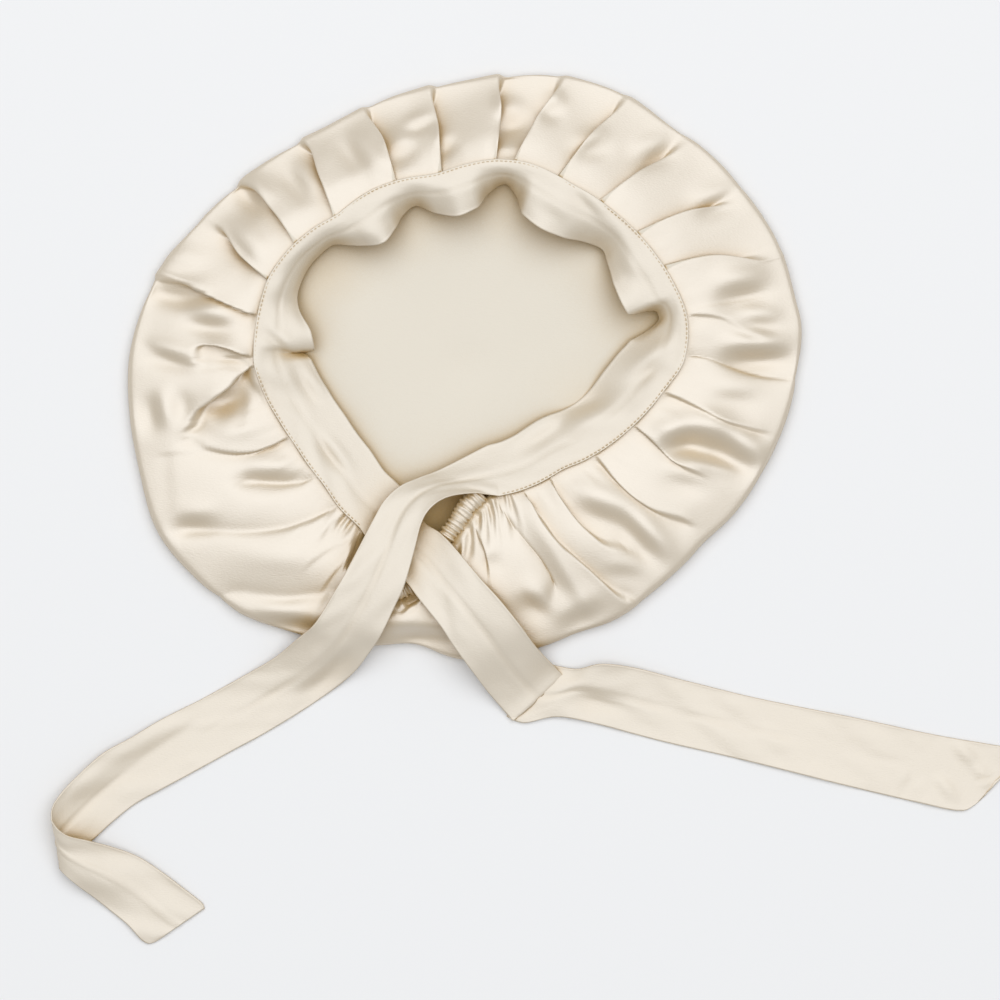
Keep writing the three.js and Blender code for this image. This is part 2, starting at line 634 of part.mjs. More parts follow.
// Top of what lies at a place on the plan: the crown, the casing, the crown's floor or the surface
function restHeight(x, y) {
  const at = turn(THREE.MathUtils.radToDeg(Math.atan2(y, x)));
  const radius = Math.hypot(x, y);
  const [seam, rim] = [seamRadius(at), outerRadius(at)];
  if (radius > rim + STRIP) return 0;
  if (radius > seam - MARGIN) {
    return roofHeight(at, clamp((radius - seam) / (rim - seam), 0, 1)) + REST_GAP;
  }
  const nearNape = at > NAPE_LEFT - NAPE_SPAN && at < NAPE_RIGHT + NAPE_SPAN;
  return nearNape && radius > NAPE_DEPTH * seam ? seamHeight(at) + CASING_HEIGHT / 2 : CLOTH;
}

// The least height that stays over a line of rest heights and never falls faster than TIE_SLOPE
function drapedOver(heights, steps) {
  const draped = [...heights];
  for (let i = 1; i < draped.length; i += 1) {
    draped[i] = Math.max(draped[i], draped[i - 1] - TIE_SLOPE * steps[i]);
  }
  for (let i = draped.length - 2; i >= 0; i -= 1) {
    draped[i] = Math.max(draped[i], draped[i + 1] - TIE_SLOPE * steps[i + 1]);
  }
  return draped.map((height, i) => {
    const near = draped.slice(Math.max(0, i - 1), i + 2);
    return Math.max(height, near.reduce((sum, h) => sum + h, 0) / near.length);
  });
}

const SECTION_CUTS = 3; // sections made for each row of a tie's table
const LONGEST_CUT = 1.6; // of STRIP_WIDTH, where the cut across is slanted
const START_SHARE = 0.2; // of its own height, what a tie reaches in its first row

function tieGeometry(rows, length, bandEnd, startHeading) {
  const [sewn, free] = [bandEnd[0], bandEnd[bandEnd.length - 1]];
  const [ahead, aside] = [Math.cos(radians(startHeading)), Math.sin(radians(startHeading))];
  const gap = new THREE.Vector3(ahead, aside, 0).multiplyScalar(BUTT_GAP);
  const sewnIsLeft = sewn.clone().sub(free).dot(new THREE.Vector3(-aside, ahead, 0)) > 0;
  const ends = sewnIsLeft ? [sewn, free] : [free, sewn];
  const [startLeft, startRight] = ends.map((p) => p.clone().add(gap));

  // The table's sections, on the plan, with the height that tilt and layers give each edge
  const centre = startLeft.clone().lerp(startRight, 0.5);
  const lefts = [startLeft];
  const rights = [startRight];
  for (const row of rows) {
    const heading = radians(row.heading);
    centre.x += row.run * length * Math.cos(heading);
    centre.y += row.run * length * Math.sin(heading);
    const bearing = radians(row.across ?? row.heading + 90);
    const stretch = Math.min(LONGEST_CUT, 1 / Math.abs(Math.sin(bearing - heading)));
    const tilt = radians(row.tilt);
    const reach = (STRIP_WIDTH / 2) * stretch * Math.cos(tilt);
    const rise = (STRIP_WIDTH / 2) * Math.sin(tilt);
    const base = Math.abs(rise) + (row.layers ?? 0) * LAYER + (row.arch ?? 0) * STRIP_WIDTH;
    const across = new THREE.Vector3(Math.cos(bearing) * reach, Math.sin(bearing) * reach, rise);
    lefts.push(new THREE.Vector3(centre.x, centre.y, base).add(across));
    rights.push(new THREE.Vector3(centre.x, centre.y, base).sub(across));
  }

  const leftCurve = new THREE.CatmullRomCurve3(lefts, false, 'centripetal');
  const rightCurve = new THREE.CatmullRomCurve3(rights, false, 'centripetal');
  const count = rows.length * SECTION_CUTS;
  const sections = list(count + 1, (i) => {
    const [left, right] = [leftCurve.getPoint(i / count), rightCurve.getPoint(i / count)];
    return [left, left.clone().lerp(right, 0.5), right];
  });
  const steps = sections.map((section, i) => (i ? section[1].distanceTo(sections[i - 1][1]) : 0));
  for (let line = 0; line < 3; line += 1) {
    const start = sections[0][line].z;
    const rests = sections.map((section, i) =>
      i === 0 ? start : restHeight(section[line].x, section[line].y) + CLEARANCE + STRIP / 2,
    );
    const draped = drapedOver(rests, steps);
    sections.forEach((section, i) => {
      const own = i < SECTION_CUTS ? START_SHARE * smooth(i, 0, SECTION_CUTS) : 1;
      section[line].z = i === 0 ? start : draped[i] + own * Math.max(0, section[line].z);
    });
  }
  return thicken(sections, STRIP);
}

// Assembly

const SATIN = { color: 0xe9e0cf, roughness: 0.42, metalness: 0 };

function piece(name, geometry) {
  const mesh = new THREE.Mesh(geometry, new THREE.MeshStandardMaterial({ ...SATIN, name }));
  mesh.name = name;
  return mesh;
}

const headingOf = (at, ahead) => {
  const [here, there] = [seamFrame(at).point, seamFrame(at + ahead).point];
  return turn(THREE.MathUtils.radToDeg(Math.atan2(there.y - here.y, there.x - here.x)));
};

const bonnet = new THREE.Group();
bonnet.name = 'sleep_bonnet';
bonnet.add(piece('crown', crownGeometry()));
bonnet.add(piece('brow_band', bandGeometry()));
bonnet.add(piece('nape_casing', casingGeometry()));

const leftEnd = bandSection(NAPE_LEFT);
const rightEnd = bandSection(NAPE_RIGHT);
const leftHeading = headingOf(NAPE_LEFT - 2, 2);
const rightHeading = headingOf(NAPE_RIGHT + 2, -2);
const underTie = tieGeometry(RIGHT_TIE, RIGHT_TIE_LENGTH, leftEnd, leftHeading);
const overTie = tieGeometry(LEFT_TIE, LEFT_TIE_LENGTH, rightEnd, rightHeading);
bonnet.add(piece('tie_right', underTie));
bonnet.add(piece('tie_left', overTie));

export default bonnet;
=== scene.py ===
import math
import random

import bpy
import numpy as np
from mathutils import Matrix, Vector, noise


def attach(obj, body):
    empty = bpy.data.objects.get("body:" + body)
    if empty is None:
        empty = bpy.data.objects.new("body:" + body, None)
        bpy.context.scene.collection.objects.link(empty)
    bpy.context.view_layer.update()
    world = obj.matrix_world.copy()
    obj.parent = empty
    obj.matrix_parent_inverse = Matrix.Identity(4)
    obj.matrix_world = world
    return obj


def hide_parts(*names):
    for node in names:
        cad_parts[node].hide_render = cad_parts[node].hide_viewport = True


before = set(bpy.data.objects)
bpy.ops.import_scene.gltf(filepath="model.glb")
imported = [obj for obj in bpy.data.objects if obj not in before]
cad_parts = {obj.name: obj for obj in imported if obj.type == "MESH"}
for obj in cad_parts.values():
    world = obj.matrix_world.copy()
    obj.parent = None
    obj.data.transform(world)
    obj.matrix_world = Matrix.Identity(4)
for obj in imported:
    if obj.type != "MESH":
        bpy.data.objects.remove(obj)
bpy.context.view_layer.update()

# A silk sleep bonnet, lying open side up. Lengths are millimetres in the frame's axes, and
# angles are degrees, anticlockwise from +X, round the middle of the crown.

MM = 0.001

# Sizes

CLOTH = 0.4  # the silk's drawn thickness
STRIP = 0.6  # the same for the strip, which is double
STRIP_WIDTH = 29
CROWN_HEIGHT = 28
ROLL_INSET = 8  # from the rim inwards to the floor's edge
ROLL_HEIGHT = 0.12 * CROWN_HEIGHT
ROLL_POWER = 90  # how suddenly the roof turns down at the rim
MARGIN = 3  # of the crown's cloth, under the band
PLEAT_DEPTH = 6
NAPE_LEFT = 239  # the band's ends
NAPE_RIGHT = 284

# The photo's scale, and the place in it over the frame's origin, for the tables in its pixels

PHOTO_MM = 0.46
PHOTO_CENTRE = (465, 358)


def on_plan(x, y):
    return (x - PHOTO_CENTRE[0]) * PHOTO_MM, (PHOTO_CENTRE[1] - y) * PHOTO_MM


# The mouth's sewn edge along the band, and the rim, as points in the photo's pixels

BAND_EDGE = [
    (500, 497), (520, 492), (560, 472), (600, 452), (640, 420), (665, 390), (685, 358), (690, 340),
    (685, 310), (670, 278), (642, 240), (600, 203), (560, 180), (520, 162), (480, 163), (440, 176),
    (400, 182), (375, 190), (340, 215), (300, 240), (270, 275), (258, 315), (253, 355), (262, 390),
    (290, 437), (317, 476), (345, 515),
]
RIM_EDGE = [
    (130, 345), (128, 385), (133, 440), (140, 480), (150, 515), (162, 540), (180, 560), (200, 582),
    (222, 600), (240, 613), (260, 621), (285, 629), (300, 636), (335, 643), (375, 645), (400, 643),
    (420, 646), (440, 653), (465, 660), (500, 657), (537, 647), (560, 640), (600, 624), (615, 620),
    (640, 602), (670, 577), (690, 555), (720, 530), (740, 508), (758, 487), (765, 468), (775, 440),
    (790, 410), (801, 380), (799, 340), (797, 300), (790, 275), (780, 245), (765, 220), (750, 198),
    (735, 180), (720, 162), (700, 143), (680, 130), (650, 110), (625, 93), (610, 86), (590, 84),
    (580, 84), (573, 77), (563, 73), (530, 73), (502, 72), (480, 77), (462, 80), (433, 82),
    (415, 90), (400, 97), (380, 100), (365, 105), (345, 117), (320, 130), (298, 141), (270, 158),
    (240, 180), (222, 198), (200, 218), (180, 240), (165, 260), (150, 278), (143, 300), (136, 320),
]
RIM_CORNER = (6, 156.0)  # the rim's corner at the right, as angle, radius

# The mouth's sewn edge along the nape, from the band's left end to its right, as angle, radius

NAPE_EDGE = [
    (NAPE_LEFT, 92.6), (240.5, 104.5), (243.5, 114.6), (249.6, 118.8), (255.3, 117.5),
    (260.3, 109.2), (264.5, 95.7), (269, 83.7), (276.3, 71.3), (NAPE_RIGHT, 65.9),
]

# Heights as shares of CROWN_HEIGHT: the sewn edge, the roof's bulge outside it, and the roof's
# outer edge before it rolls under

HEIGHTS = [
    # angle, seam, bulge, edge
    (0, 0.52, 0.04, 0.24),
    (15, 0.58, 0.03, 0.23),
    (30, 0.63, 0.02, 0.22),
    (45, 0.67, 0, 0.21),
    (60, 0.69, -0.01, 0.21),
    (75, 0.7, -0.02, 0.21),
    (90, 0.7, -0.02, 0.21),
    (105, 0.7, -0.02, 0.21),
    (120, 0.68, -0.02, 0.21),
    (135, 0.66, 0, 0.21),
    (150, 0.61, 0.02, 0.21),
    (165, 0.54, 0.05, 0.22),
    (180, 0.5, 0.08, 0.23),
    (195, 0.42, 0.12, 0.24),
    (210, 0.38, 0.14, 0.23),
    (225, 0.38, 0.15, 0.21),
    (240, 0.38, 0.14, 0.19),
    (250, 0.38, 0.12, 0.17),
    (260, 0.39, 0.12, 0.17),
    (270, 0.44, 0.16, 0.19),
    (284, 0.47, 0.18, 0.2),
    (300, 0.44, 0.18, 0.21),
    (315, 0.42, 0.16, 0.22),
    (330, 0.44, 0.12, 0.23),
    (345, 0.5, 0.07, 0.24),
]

# The crown's pleats: three points of each lip in the photo's pixels, at the band, half way and
# at its end, its depth of PLEAT_DEPTH, and the side of its valley (1 is anticlockwise of it)

PLEAT_LINES = [
    # band, middle, end, depth, valley
    ((675, 271), (710, 263), (760, 258), 0.7, 1),
    ((645, 236), (690, 216), (730, 200), 0.75, 1),
    ((613, 198), (650, 170), (680, 143), 0.75, 1),
    ((567, 178), (590, 145), (625, 97), 0.75, 1),
    ((523, 160), (540, 125), (563, 74), 0.75, 1),
    ((485, 162), (490, 135), (502, 72), 1.1, -1),
    ((434, 178), (433, 150), (433, 82), 0.9, -1),
    ((387, 184), (380, 150), (365, 106), 0.9, -1),
    ((343, 214), (325, 170), (300, 141), 1.0, 1),
    ((302, 239), (270, 200), (235, 183), 0.9, 1),
    ((272, 273), (240, 247), (217, 228), 1.0, 1),
]

# The band's waves, by the sewn edge: the free edge's reach of STRIP_WIDTH and height of
# CROWN_HEIGHT

WAVES = [
    # at, reach, height
    (239, 0.93, 0.21),
    (225, 0.93, 0.195),
    (210, 0.93, 0.195),
    (196, 0.92, 0.195),
    (184, 0.9, 0.21),
    (178.2, 0.77, 0.12),
    (176.8, 0.96, 0.3),
    (171, 0.89, 0.41),
    (164, 0.62, 0.35),
    (158, 0.5, 0.25),
    (152, 0.42, 0.19),
    (145, 0.36, 0.17),
    (138, 0.34, 0.19),
    (131, 0.62, 0.49),
    (125, 0.8, 0.65),
    (118, 0.7, 0.55),
    (112, 0.5, 0.31),
    (107, 0.4, 0.21),
    (101, 0.6, 0.49),
    (95, 0.74, 0.69),
    (90, 0.7, 0.63),
    (84, 0.46, 0.33),
    (78, 0.32, 0.17),
    (73, 0.5, 0.29),
    (68, 0.78, 0.59),
    (60, 0.85, 0.67),
    (53, 0.8, 0.57),
    (46, 0.64, 0.35),
    (40, 0.54, 0.23),
    (35, 0.66, 0.33),
    (28, 0.82, 0.53),
    (21, 0.88, 0.61),
    (17.2, 0.87, 0.57),
    (16.2, 0.6, 0.41),
    (14.6, 0.42, 0.29),
    (12.6, 0.42, 0.19),
    (8.5, 0.66, 0.19),
    (4.5, 0.82, 0.19),
    (-2, 0.93, 0.19),
    (-12, 0.95, 0.17),
    (-25, 0.92, 0.155),
    (-40, 0.9, 0.155),
    (-52, 0.88, 0.17),
    (-64, 0.86, 0.22),
    (-76, 0.84, 0.22),
]

# Folds in the crown's cloth, along lines in the photo's pixels: the rise and run, in
# millimetres, of the cloth on the left of the line and on its right, going along it, and how
# far the left laps over the right

FOLDS = [
    # left rise, run, right rise, run, lap, points
    (1.6, 9, -2.6, 7, 1.6, (160, 279), (180, 284), (200, 292), (220, 301), (240, 310), (258, 317)),
    (1.4, 4, -2.2, 5, 1.6, (198, 358), (198, 350), (205, 345), (217, 346), (234, 351), (253, 358)),
    (0.5, 4, -0.9, 2, 0.5, (226, 359), (238, 359), (252, 367)),
    (-0.8, 8, -0.6, 3, 0.0, (143, 346), (160, 355), (182, 366), (205, 370), (226, 368), (246, 371)),
    (1.4, 9, -5.0, 9, 3.0, (193, 423), (203, 408), (216, 397), (232, 385), (239, 377), (247, 371)),
    (0.7, 3, -0.9, 3, 0.4, (243, 382), (247, 396), (247, 410), (244, 425)),
    (0.9, 4, -1.6, 3, 1.0, (247, 373), (257, 387), (267, 400)),
    (-0.5, 6, -2.8, 5, 1.2, (192, 439), (206, 448), (225, 453), (242, 454), (260, 451), (291, 437)),
    (0.3, 6, -0.3, 6, 0.0, (168, 454), (185, 453), (205, 453), (240, 456)),
    (0.4, 4, -0.5, 4, 0.0, (169, 455), (170, 472), (172, 490), (173, 506)),
    (-2.8, 5, -1.8, 2.5, 0.7, (244, 483), (262, 483), (285, 484), (304, 482), (318, 476)),
    (-2.8, 7, -2.0, 2.5, 0.9, (183, 532), (215, 532), (245, 533), (272, 531), (298, 525), (338, 507)),
    (-2.4, 6, -1.7, 3, 0.6, (220, 598), (240, 594), (262, 597), (285, 600), (305, 598), (336, 595)),
    (0.5, 5, -1.0, 5, 0.5, (697, 316), (712, 317), (726, 321), (740, 330), (756, 336)),
    (-1.5, 7, -1.2, 2.5, 0.8, (689, 357), (705, 358), (724, 365), (745, 373), (768, 378), (801, 379)),
    (0.8, 5, -1.3, 6, 0.6, (667, 394), (685, 402), (705, 412), (725, 422), (757, 431)),
    (1.1, 5, -1.2, 6, 1.4, (637, 428), (650, 440), (662, 452), (674, 463), (692, 471)),
    (0.9, 5, -1.6, 6, 0.8, (597, 457), (606, 470), (620, 486), (636, 500), (656, 512), (682, 520)),
    (1.0, 4, -1.8, 8, 1.4, (618, 546), (600, 540), (581, 525), (568, 510), (558, 495), (551, 479)),
    (1.4, 4, -1.8, 6, 1.6, (628, 599), (612, 590), (586, 567), (570, 553), (555, 539), (530, 503)),
    (-0.6, 3, -0.6, 5, 0.4, (594, 562), (612, 557), (640, 553)),
    (-1.8, 5, -2.0, 4, 1.2, (503, 512), (516, 530), (531, 548), (545, 566), (554, 584), (551, 597)),
    (0.8, 4, -1.0, 4, 1.0, (478, 536), (485, 552), (488, 568)),
    (0.3, 1.8, -0.7, 2, 0.3, (300, 531), (325, 524), (347, 517)),
    (0.3, 1.8, -0.7, 2, 0.3, (312, 562), (334, 548), (356, 540)),
    (0.3, 1.8, -0.7, 2, 0.3, (325, 586), (339, 569), (354, 558)),
]

# Slopes that face away from the light, along lines in the photo's pixels: the ridge on the
# upper side of each stands as high as the hollow on its lower side is deep

SLOPES = [
    # x1, y1, x2, y2, width, rise
    (392, 152, 412, 147, 9, 1.3),
    (408, 128, 432, 121, 5, 0.9),
    (438, 146, 452, 142, 7, 1.0),
    (500, 118, 522, 113, 10, 2.0),
    (500, 156, 516, 152, 7, 1.2),
    (545, 106, 560, 108, 8, 1.3),
    (578, 150, 604, 142, 8, 1.3),
    (640, 158, 668, 146, 9, 1.5),
    (698, 208, 730, 196, 9, 1.4),
    (718, 292, 762, 286, 11, 2.2),
    (744, 318, 776, 322, 8, 1.2),
    (728, 352, 784, 351, 10, 3.0),
    (712, 394, 755, 396, 9, 0.8),
    (662, 443, 690, 433, 11, 3.0),
    (690, 433, 725, 442, 13, 3.6),
    (725, 442, 756, 464, 12, 2.8),
    (665, 475, 702, 482, 9, 1.0),
    (578, 500, 625, 518, 12, 2.4),
    (625, 518, 662, 556, 10, 2.0),
    (602, 568, 640, 570, 7, 0.8),
    (522, 596, 550, 606, 9, 1.8),
    (480, 560, 500, 556, 7, 0.9),
    (152, 284, 206, 296, 10, 2.4),
    (190, 318, 232, 324, 10, 2.6),
    (150, 350, 190, 362, 8, 1.5),
    (208, 349, 244, 357, 6, 1.3),
    (160, 262, 200, 268, 9, 1.4),
    (560, 622, 600, 604, 9, 1.4),
    (210, 404, 240, 394, 9, 1.6),
    (244, 474, 296, 475, 9, 1.7),
    (176, 520, 212, 520, 9, 1.1),
    (244, 182, 262, 205, 9, 1.6),
    (292, 168, 312, 196, 9, 1.4),
    (350, 142, 372, 172, 9, 1.2),
    (232, 232, 260, 262, 9, 1.4),
    (262, 618, 330, 624, 8, 1.8),
    (390, 628, 460, 634, 8, 1.4),
]

# Ridges and dents, along lines in the photo's pixels

RIDGES = [
    # x1, y1, x2, y2, width, rise
    (163, 392, 168, 424, 9, 1.8),
    (148, 400, 152, 430, 11, -1.8),
    (180, 396, 185, 424, 10, -1.9),
    (185, 333, 240, 338, 9, 1.2),
    (222, 432, 262, 430, 9, 1.0),
    (216, 412, 240, 392, 11, -3.0),
    (528, 512, 588, 606, 9, 1.6),
    (472, 572, 512, 604, 14, 1.4),
    (240, 553, 322, 560, 14, 1.2),
    (230, 612, 320, 606, 6, 1.0),
    (670, 454, 742, 474, 7, 1.4),
]

# The same in the band and the ties

STRIP_SLOPES = [
    # x1, y1, x2, y2, width, rise
    (566, 420, 610, 402, 12, -2.6),
    (640, 344, 672, 340, 12, -1.0),
    (655, 372, 672, 368, 7, 0.5),
    (262, 374, 304, 398, 10, 0.8),
    (272, 300, 292, 290, 10, 0.7),
    (322, 438, 346, 470, 5, 1.0),
    (300, 372, 318, 398, 5, 0.9),
    (268, 330, 292, 352, 5, 0.8),
    (520, 445, 560, 420, 6, 0.9),
    (630, 380, 668, 352, 6, 0.9),
    (575, 190, 600, 215, 6, 0.8),
    (356, 236, 372, 246, 8, 0.6),
    (436, 196, 462, 206, 9, 0.6),
    (545, 205, 566, 222, 9, 0.7),
    (620, 262, 640, 282, 9, 0.7),
    (70, 800, 110, 780, 10, 1.4),
    (100, 770, 200, 722, 12, 1.5),
    (300, 690, 345, 650, 9, 1.4),
    (196, 742, 222, 728, 7, 0.8),
    (572, 690, 620, 700, 9, 1.2),
    (70, 880, 130, 900, 14, 2.0),
    (360, 640, 395, 650, 10, 0.6),
]
STRIP_RIDGES = [
    # x1, y1, x2, y2, width, rise
    (940, 740, 903, 795, 4, -1.2),
    (958, 744, 976, 764, 6, 1.5),
    (938, 776, 958, 800, 6, 1.3),
    (978, 768, 990, 784, 6, 1.4),
    (560, 668, 600, 700, 12, -1.8),
    (572, 684, 640, 706, 6, 0.7),
    (296, 352, 330, 400, 6, 0.5),
    (262, 346, 300, 342, 8, 0.7),
]

# The ties' sections in the photo's pixels: the edge that runs on from the band's sewn edge,
# the edge that runs on from its free edge, and both heights

LEFT_TIE = [
    # sewn x, y, free x, y, sewn height, free height
    (478, 493, 440, 470, 16.3, 8.6),
    (455, 495, 420, 478, 18.9, 11.2),
    (440, 501, 400, 487, 20.6, 13.8),
    (428, 512, 385, 501, 21.1, 16.3),
    (421, 526, 374, 520, 21.1, 18.1),
    (415, 550, 363, 541, 20.6, 18.9),
    (405, 585, 345, 575, 19.8, 18.9),
    (395, 607, 335, 592, 18.5, 18.1),
    (384, 630, 325, 609, 15.9, 17.2),
    (370, 652, 314, 625, 10.3, 15.5),
    (350, 676, 300, 637, 3.4, 12),
    (320, 699, 274, 658, 1.4, 5.2),
    (272, 729, 240, 678, 0.9, 1.8),
    (230, 752, 200, 700, 0.8, 0.9),
    (188, 775, 160, 720, 0.8, 1.2),
    (160, 790, 130, 738, 0.8, 2.2),
    (135, 804, 103, 753, 0.9, 3.6),
    (112, 822, 78, 775, 1.2, 5.6),
    (90, 842, 62, 792, 1.8, 7.7),
    (68, 858, 53, 808, 2.8, 10.3),
    (60, 866, 55, 822, 4.5, 12),
    (66, 875, 67, 834, 5.5, 11.2),
    (78, 886, 88, 840, 5.2, 8.2),
    (94, 898, 112, 847, 4, 5.2),
    (111, 912, 138, 857, 2.8, 3.4),
    (127, 925, 161, 872, 2.0, 2.2),
    (137, 936, 182, 888, 1.4, 1.8),
    (142, 941, 195, 898, 1.1, 1.4),
    (148, 944, 202, 904, 0.9, 1.1),
    (155, 942, 204, 909, 0.8, 0.9),
]
RIGHT_TIE = [
    # sewn x, y, free x, y, sewn height, free height
    (372, 545, 412, 503, 12.5, 6.9),
    (388, 563, 425, 523, 13.8, 10.8),
    (407, 583, 440, 533, 15, 12.9),
    (420, 600, 455, 548, 15.9, 15.5),
    (440, 625, 480, 578, 16.8, 19.8),
    (453, 645, 500, 600, 15.8, 20.4),
    (470, 668, 520, 625, 12.5, 18.4),
    (488, 692, 537, 648, 5.5, 12.5),
    (504, 711, 553, 665, 2.4, 5.2),
    (513, 721, 563, 675, 1.9, 2.8),
    (512, 720, 562, 674, 1.3, 1.9),
    (508, 717, 543, 662, 1.0, 1.5),
    (509, 718, 542, 662, 0.6, 0.9),
    (525, 723, 575, 669, 0.8, 4.3),
    (558, 717, 602, 664, 1.6, 6),
    (600, 725, 635, 668, 1.4, 3.4),
    (660, 741, 682, 680, 0.8, 1.2),
    (747, 761, 760, 699, 0.8, 0.8),
    (847, 786, 860, 719, 0.8, 0.8),
    (915, 802, 930, 734, 0.8, 0.8),
    (958, 811, 1005, 747, 0.8, 0.8),
    (973, 807, 1019, 749, 0.8, 0.8),
    (986, 795, 1027, 751, 0.8, 0.8),
    (996, 781, 1031, 754, 0.8, 0.8),
]

# Small mathematics on arrays


def smooth(x, start, end):
    t = np.clip((x - start) / (end - start), 0, 1)
    return t * t * (3 - 2 * t)


def lerp(a, b, t):
    return a + (b - a) * t


def hermite(t, start, leaving, end, arriving):
    """A smooth curve's point at t, 0 to 1, from its ends and its tangents there."""
    return (
        (2 * t**3 - 3 * t**2 + 1) * start
        + (t**3 - 2 * t**2 + t) * leaving
        + (3 * t**2 - 2 * t**3) * end
        + (t**3 - t**2) * arriving
    )


def apart(start, end):
    return (end - start + 180) % 360 - 180


def on_circle(at, radius):
    return radius * np.cos(np.radians(at)), radius * np.sin(np.radians(at))


def run_along(line):
    """The length along a line up to each of its points."""
    return np.concatenate([[0], np.cumsum(np.linalg.norm(np.diff(line, axis=0), axis=1))])


def at_lengths(line, length, places):
    """A line's points at some lengths along it."""
    return np.stack([np.interp(places, length, line[:, k]) for k in range(3)], -1)


def around(rows, column):
    """A smooth curve through one column of a table, by the angle in its first."""
    rows = sorted(rows, key=lambda row: row[0] % 360)
    at = np.array([row[0] % 360 for row in rows], float)
    value = np.array([row[column] for row in rows], float)
    at = np.concatenate([at[-2:] - 360, at, at[:2] + 360])
    value = np.concatenate([value[-2:], value, value[:2]])
    steep = np.diff(value) / np.diff(at)
    before, after = steep[:-1], steep[1:]
    rising = before * after > 0
    slope = np.zeros_like(value)
    slope[1:-1][rising] = (2 * before * after)[rising] / (before + after)[rising]

    def curve(degrees):
        x = np.asarray(degrees, float) % 360
        i = np.clip(np.searchsorted(at, x, side="right") - 1, 0, len(at) - 2)
        step = at[i + 1] - at[i]
        t = (x - at[i]) / step
        return hermite(t, value[i], step * slope[i], value[i + 1], step * slope[i + 1])

    return curve


def wobble(points, hills):
    """Smooth noise at each point, for hills as the space between them, height and seed."""
    size, height, seed = hills
    offset = Vector((seed * 17.3, seed * 5.1, seed * 9.7))
    flat = points.reshape(-1, 3) / size
    values = [noise.noise(Vector(p) + offset) for p in flat]
    return height * np.array(values).reshape(points.shape[:-1])


# The mouth, the rim and the pleats by angle, rounded to what the photo can be read to


def on_polar(x, y):
    """The angle and the radius of a place in the photo."""
    across, up = on_plan(x, y)
    return math.degrees(math.atan2(up, across)) % 360, math.hypot(across, up)


def radius_at(edge, at):
    """The radius at an angle of a closed line through points in the photo."""
    angle, radius = np.array(sorted(on_polar(*point) for point in edge)).T
    return np.interp(at, angle, radius, period=360)


def every_ten_degrees(edge):
    return [(at, round(radius_at(edge, at), 1)) for at in range(0, 360, 10)]


def pleat(start, middle, end, depth, valley):
    """A lip's angle at the band, then its angle and share out (1 is the rim) twice more."""
    row = [round(on_polar(*start)[0], 1)]
    for point in (middle, end):
        at, radius = on_polar(*point)
        mouth, rim = radius_at(BAND_EDGE, at), radius_at(RIM_EDGE, at)
        row += [round(at, 1), min(1, round((radius - mouth) / (rim - mouth), 2))]
    return (*row, depth, valley)


MOUTH = [row for row in every_ten_degrees(BAND_EDGE) if not NAPE_LEFT < row[0] < NAPE_RIGHT]
MOUTH += NAPE_EDGE
RIM = [*every_ten_degrees(RIM_EDGE), RIM_CORNER]
PLEATS = [pleat(*line) for line in PLEAT_LINES]

mouth_radius = around(MOUTH, 1)
rim_radius = around(RIM, 1)
seam_share = around(HEIGHTS, 1)
bulge_share = around(HEIGHTS, 2)
edge_share = around(HEIGHTS, 3)
wave_reach = around(WAVES, 1)
wave_height = around(WAVES, 2)


def seam_height(at):
    return seam_share(at) * CROWN_HEIGHT


SETTLE = 0.6  # how far the roof levels out at the band and at the rim, 0 to 1


def roof_height(at, out):
    """Height of the crown's roof, from the mouth (out 0) to the rim (out 1)."""
    fall = lerp(out, smooth(out, 0, 1), SETTLE)
    slope = lerp(seam_share(at), edge_share(at), fall) * CROWN_HEIGHT
    top = slope + 4 * bulge_share(at) * CROWN_HEIGHT * out * (1 - out)
    return lerp(ROLL_HEIGHT, top, np.sqrt(1 - np.clip(out, 0, 1) ** ROLL_POWER))


def seam_frame(at):
    """The sewn edge's points and outward directions on the plan."""

    def spot(degrees):
        return np.stack(on_circle(degrees, mouth_radius(degrees)), -1)

    along = spot(at + 1.5) - spot(at - 1.5)
    along /= np.linalg.norm(along, axis=-1, keepdims=True)
    return spot(at), np.stack([along[..., 1], -along[..., 0]], -1)


def seam_slope(at):
    fall = (edge_share(at) - seam_share(at)) * (1 - SETTLE)
    rise = (fall + 4 * bulge_share(at)) * CROWN_HEIGHT
    return rise / (rim_radius(at) - mouth_radius(at))


# Meshes


def add_mesh(name, vertices, faces):
    mesh = bpy.data.meshes.new(name)
    mesh.from_pydata(vertices, [], faces)
    mesh.polygons.foreach_set("use_smooth", [True] * len(faces))
    mesh.update()
    made = bpy.data.objects.new(name, mesh)
    bpy.context.scene.collection.objects.link(made)
    return made


def add_grid(name, points, closed=False, pole=None):
    """A mesh over a grid of points, with an optional point that closes its last row."""
    rows, columns = points.shape[:2]
    vertices = [tuple(p) for p in points.reshape(-1, 3) * MM]
    faces = []
    for row in range(rows - 1):
        low, high = row * columns, (row + 1) * columns
        for column in range(columns if closed else columns - 1):
            right = (column + 1) % columns
            faces.append((low + column, high + column, high + right, low + right))
    if pole is not None:
        vertices.append(tuple(np.array(pole) * MM))
        last = (rows - 1) * columns
        faces += [(last + c, len(vertices) - 1, last + (c + 1) % columns) for c in range(columns)]
    return add_mesh(name, vertices, faces)


def add_uv(made, u, v):
    """A UV for each point, in metres of cloth."""
    layer = made.data.uv_layers.new(name="cloth")
    index = np.zeros(len(made.data.loops), int)
    made.data.loops.foreach_get("vertex_index", index)
    flat = np.stack([u.ravel(), v.ravel()], -1)
    layer.data.foreach_set("uv", flat[index].ravel())


def solidify(made, thickness, offset, inside=0):
    modifier = made.modifiers.new("thickness", "SOLIDIFY")
    modifier.thickness = thickness * MM
    modifier.offset = offset
    modifier.use_even_offset = False
    modifier.material_offset = inside


# The crown

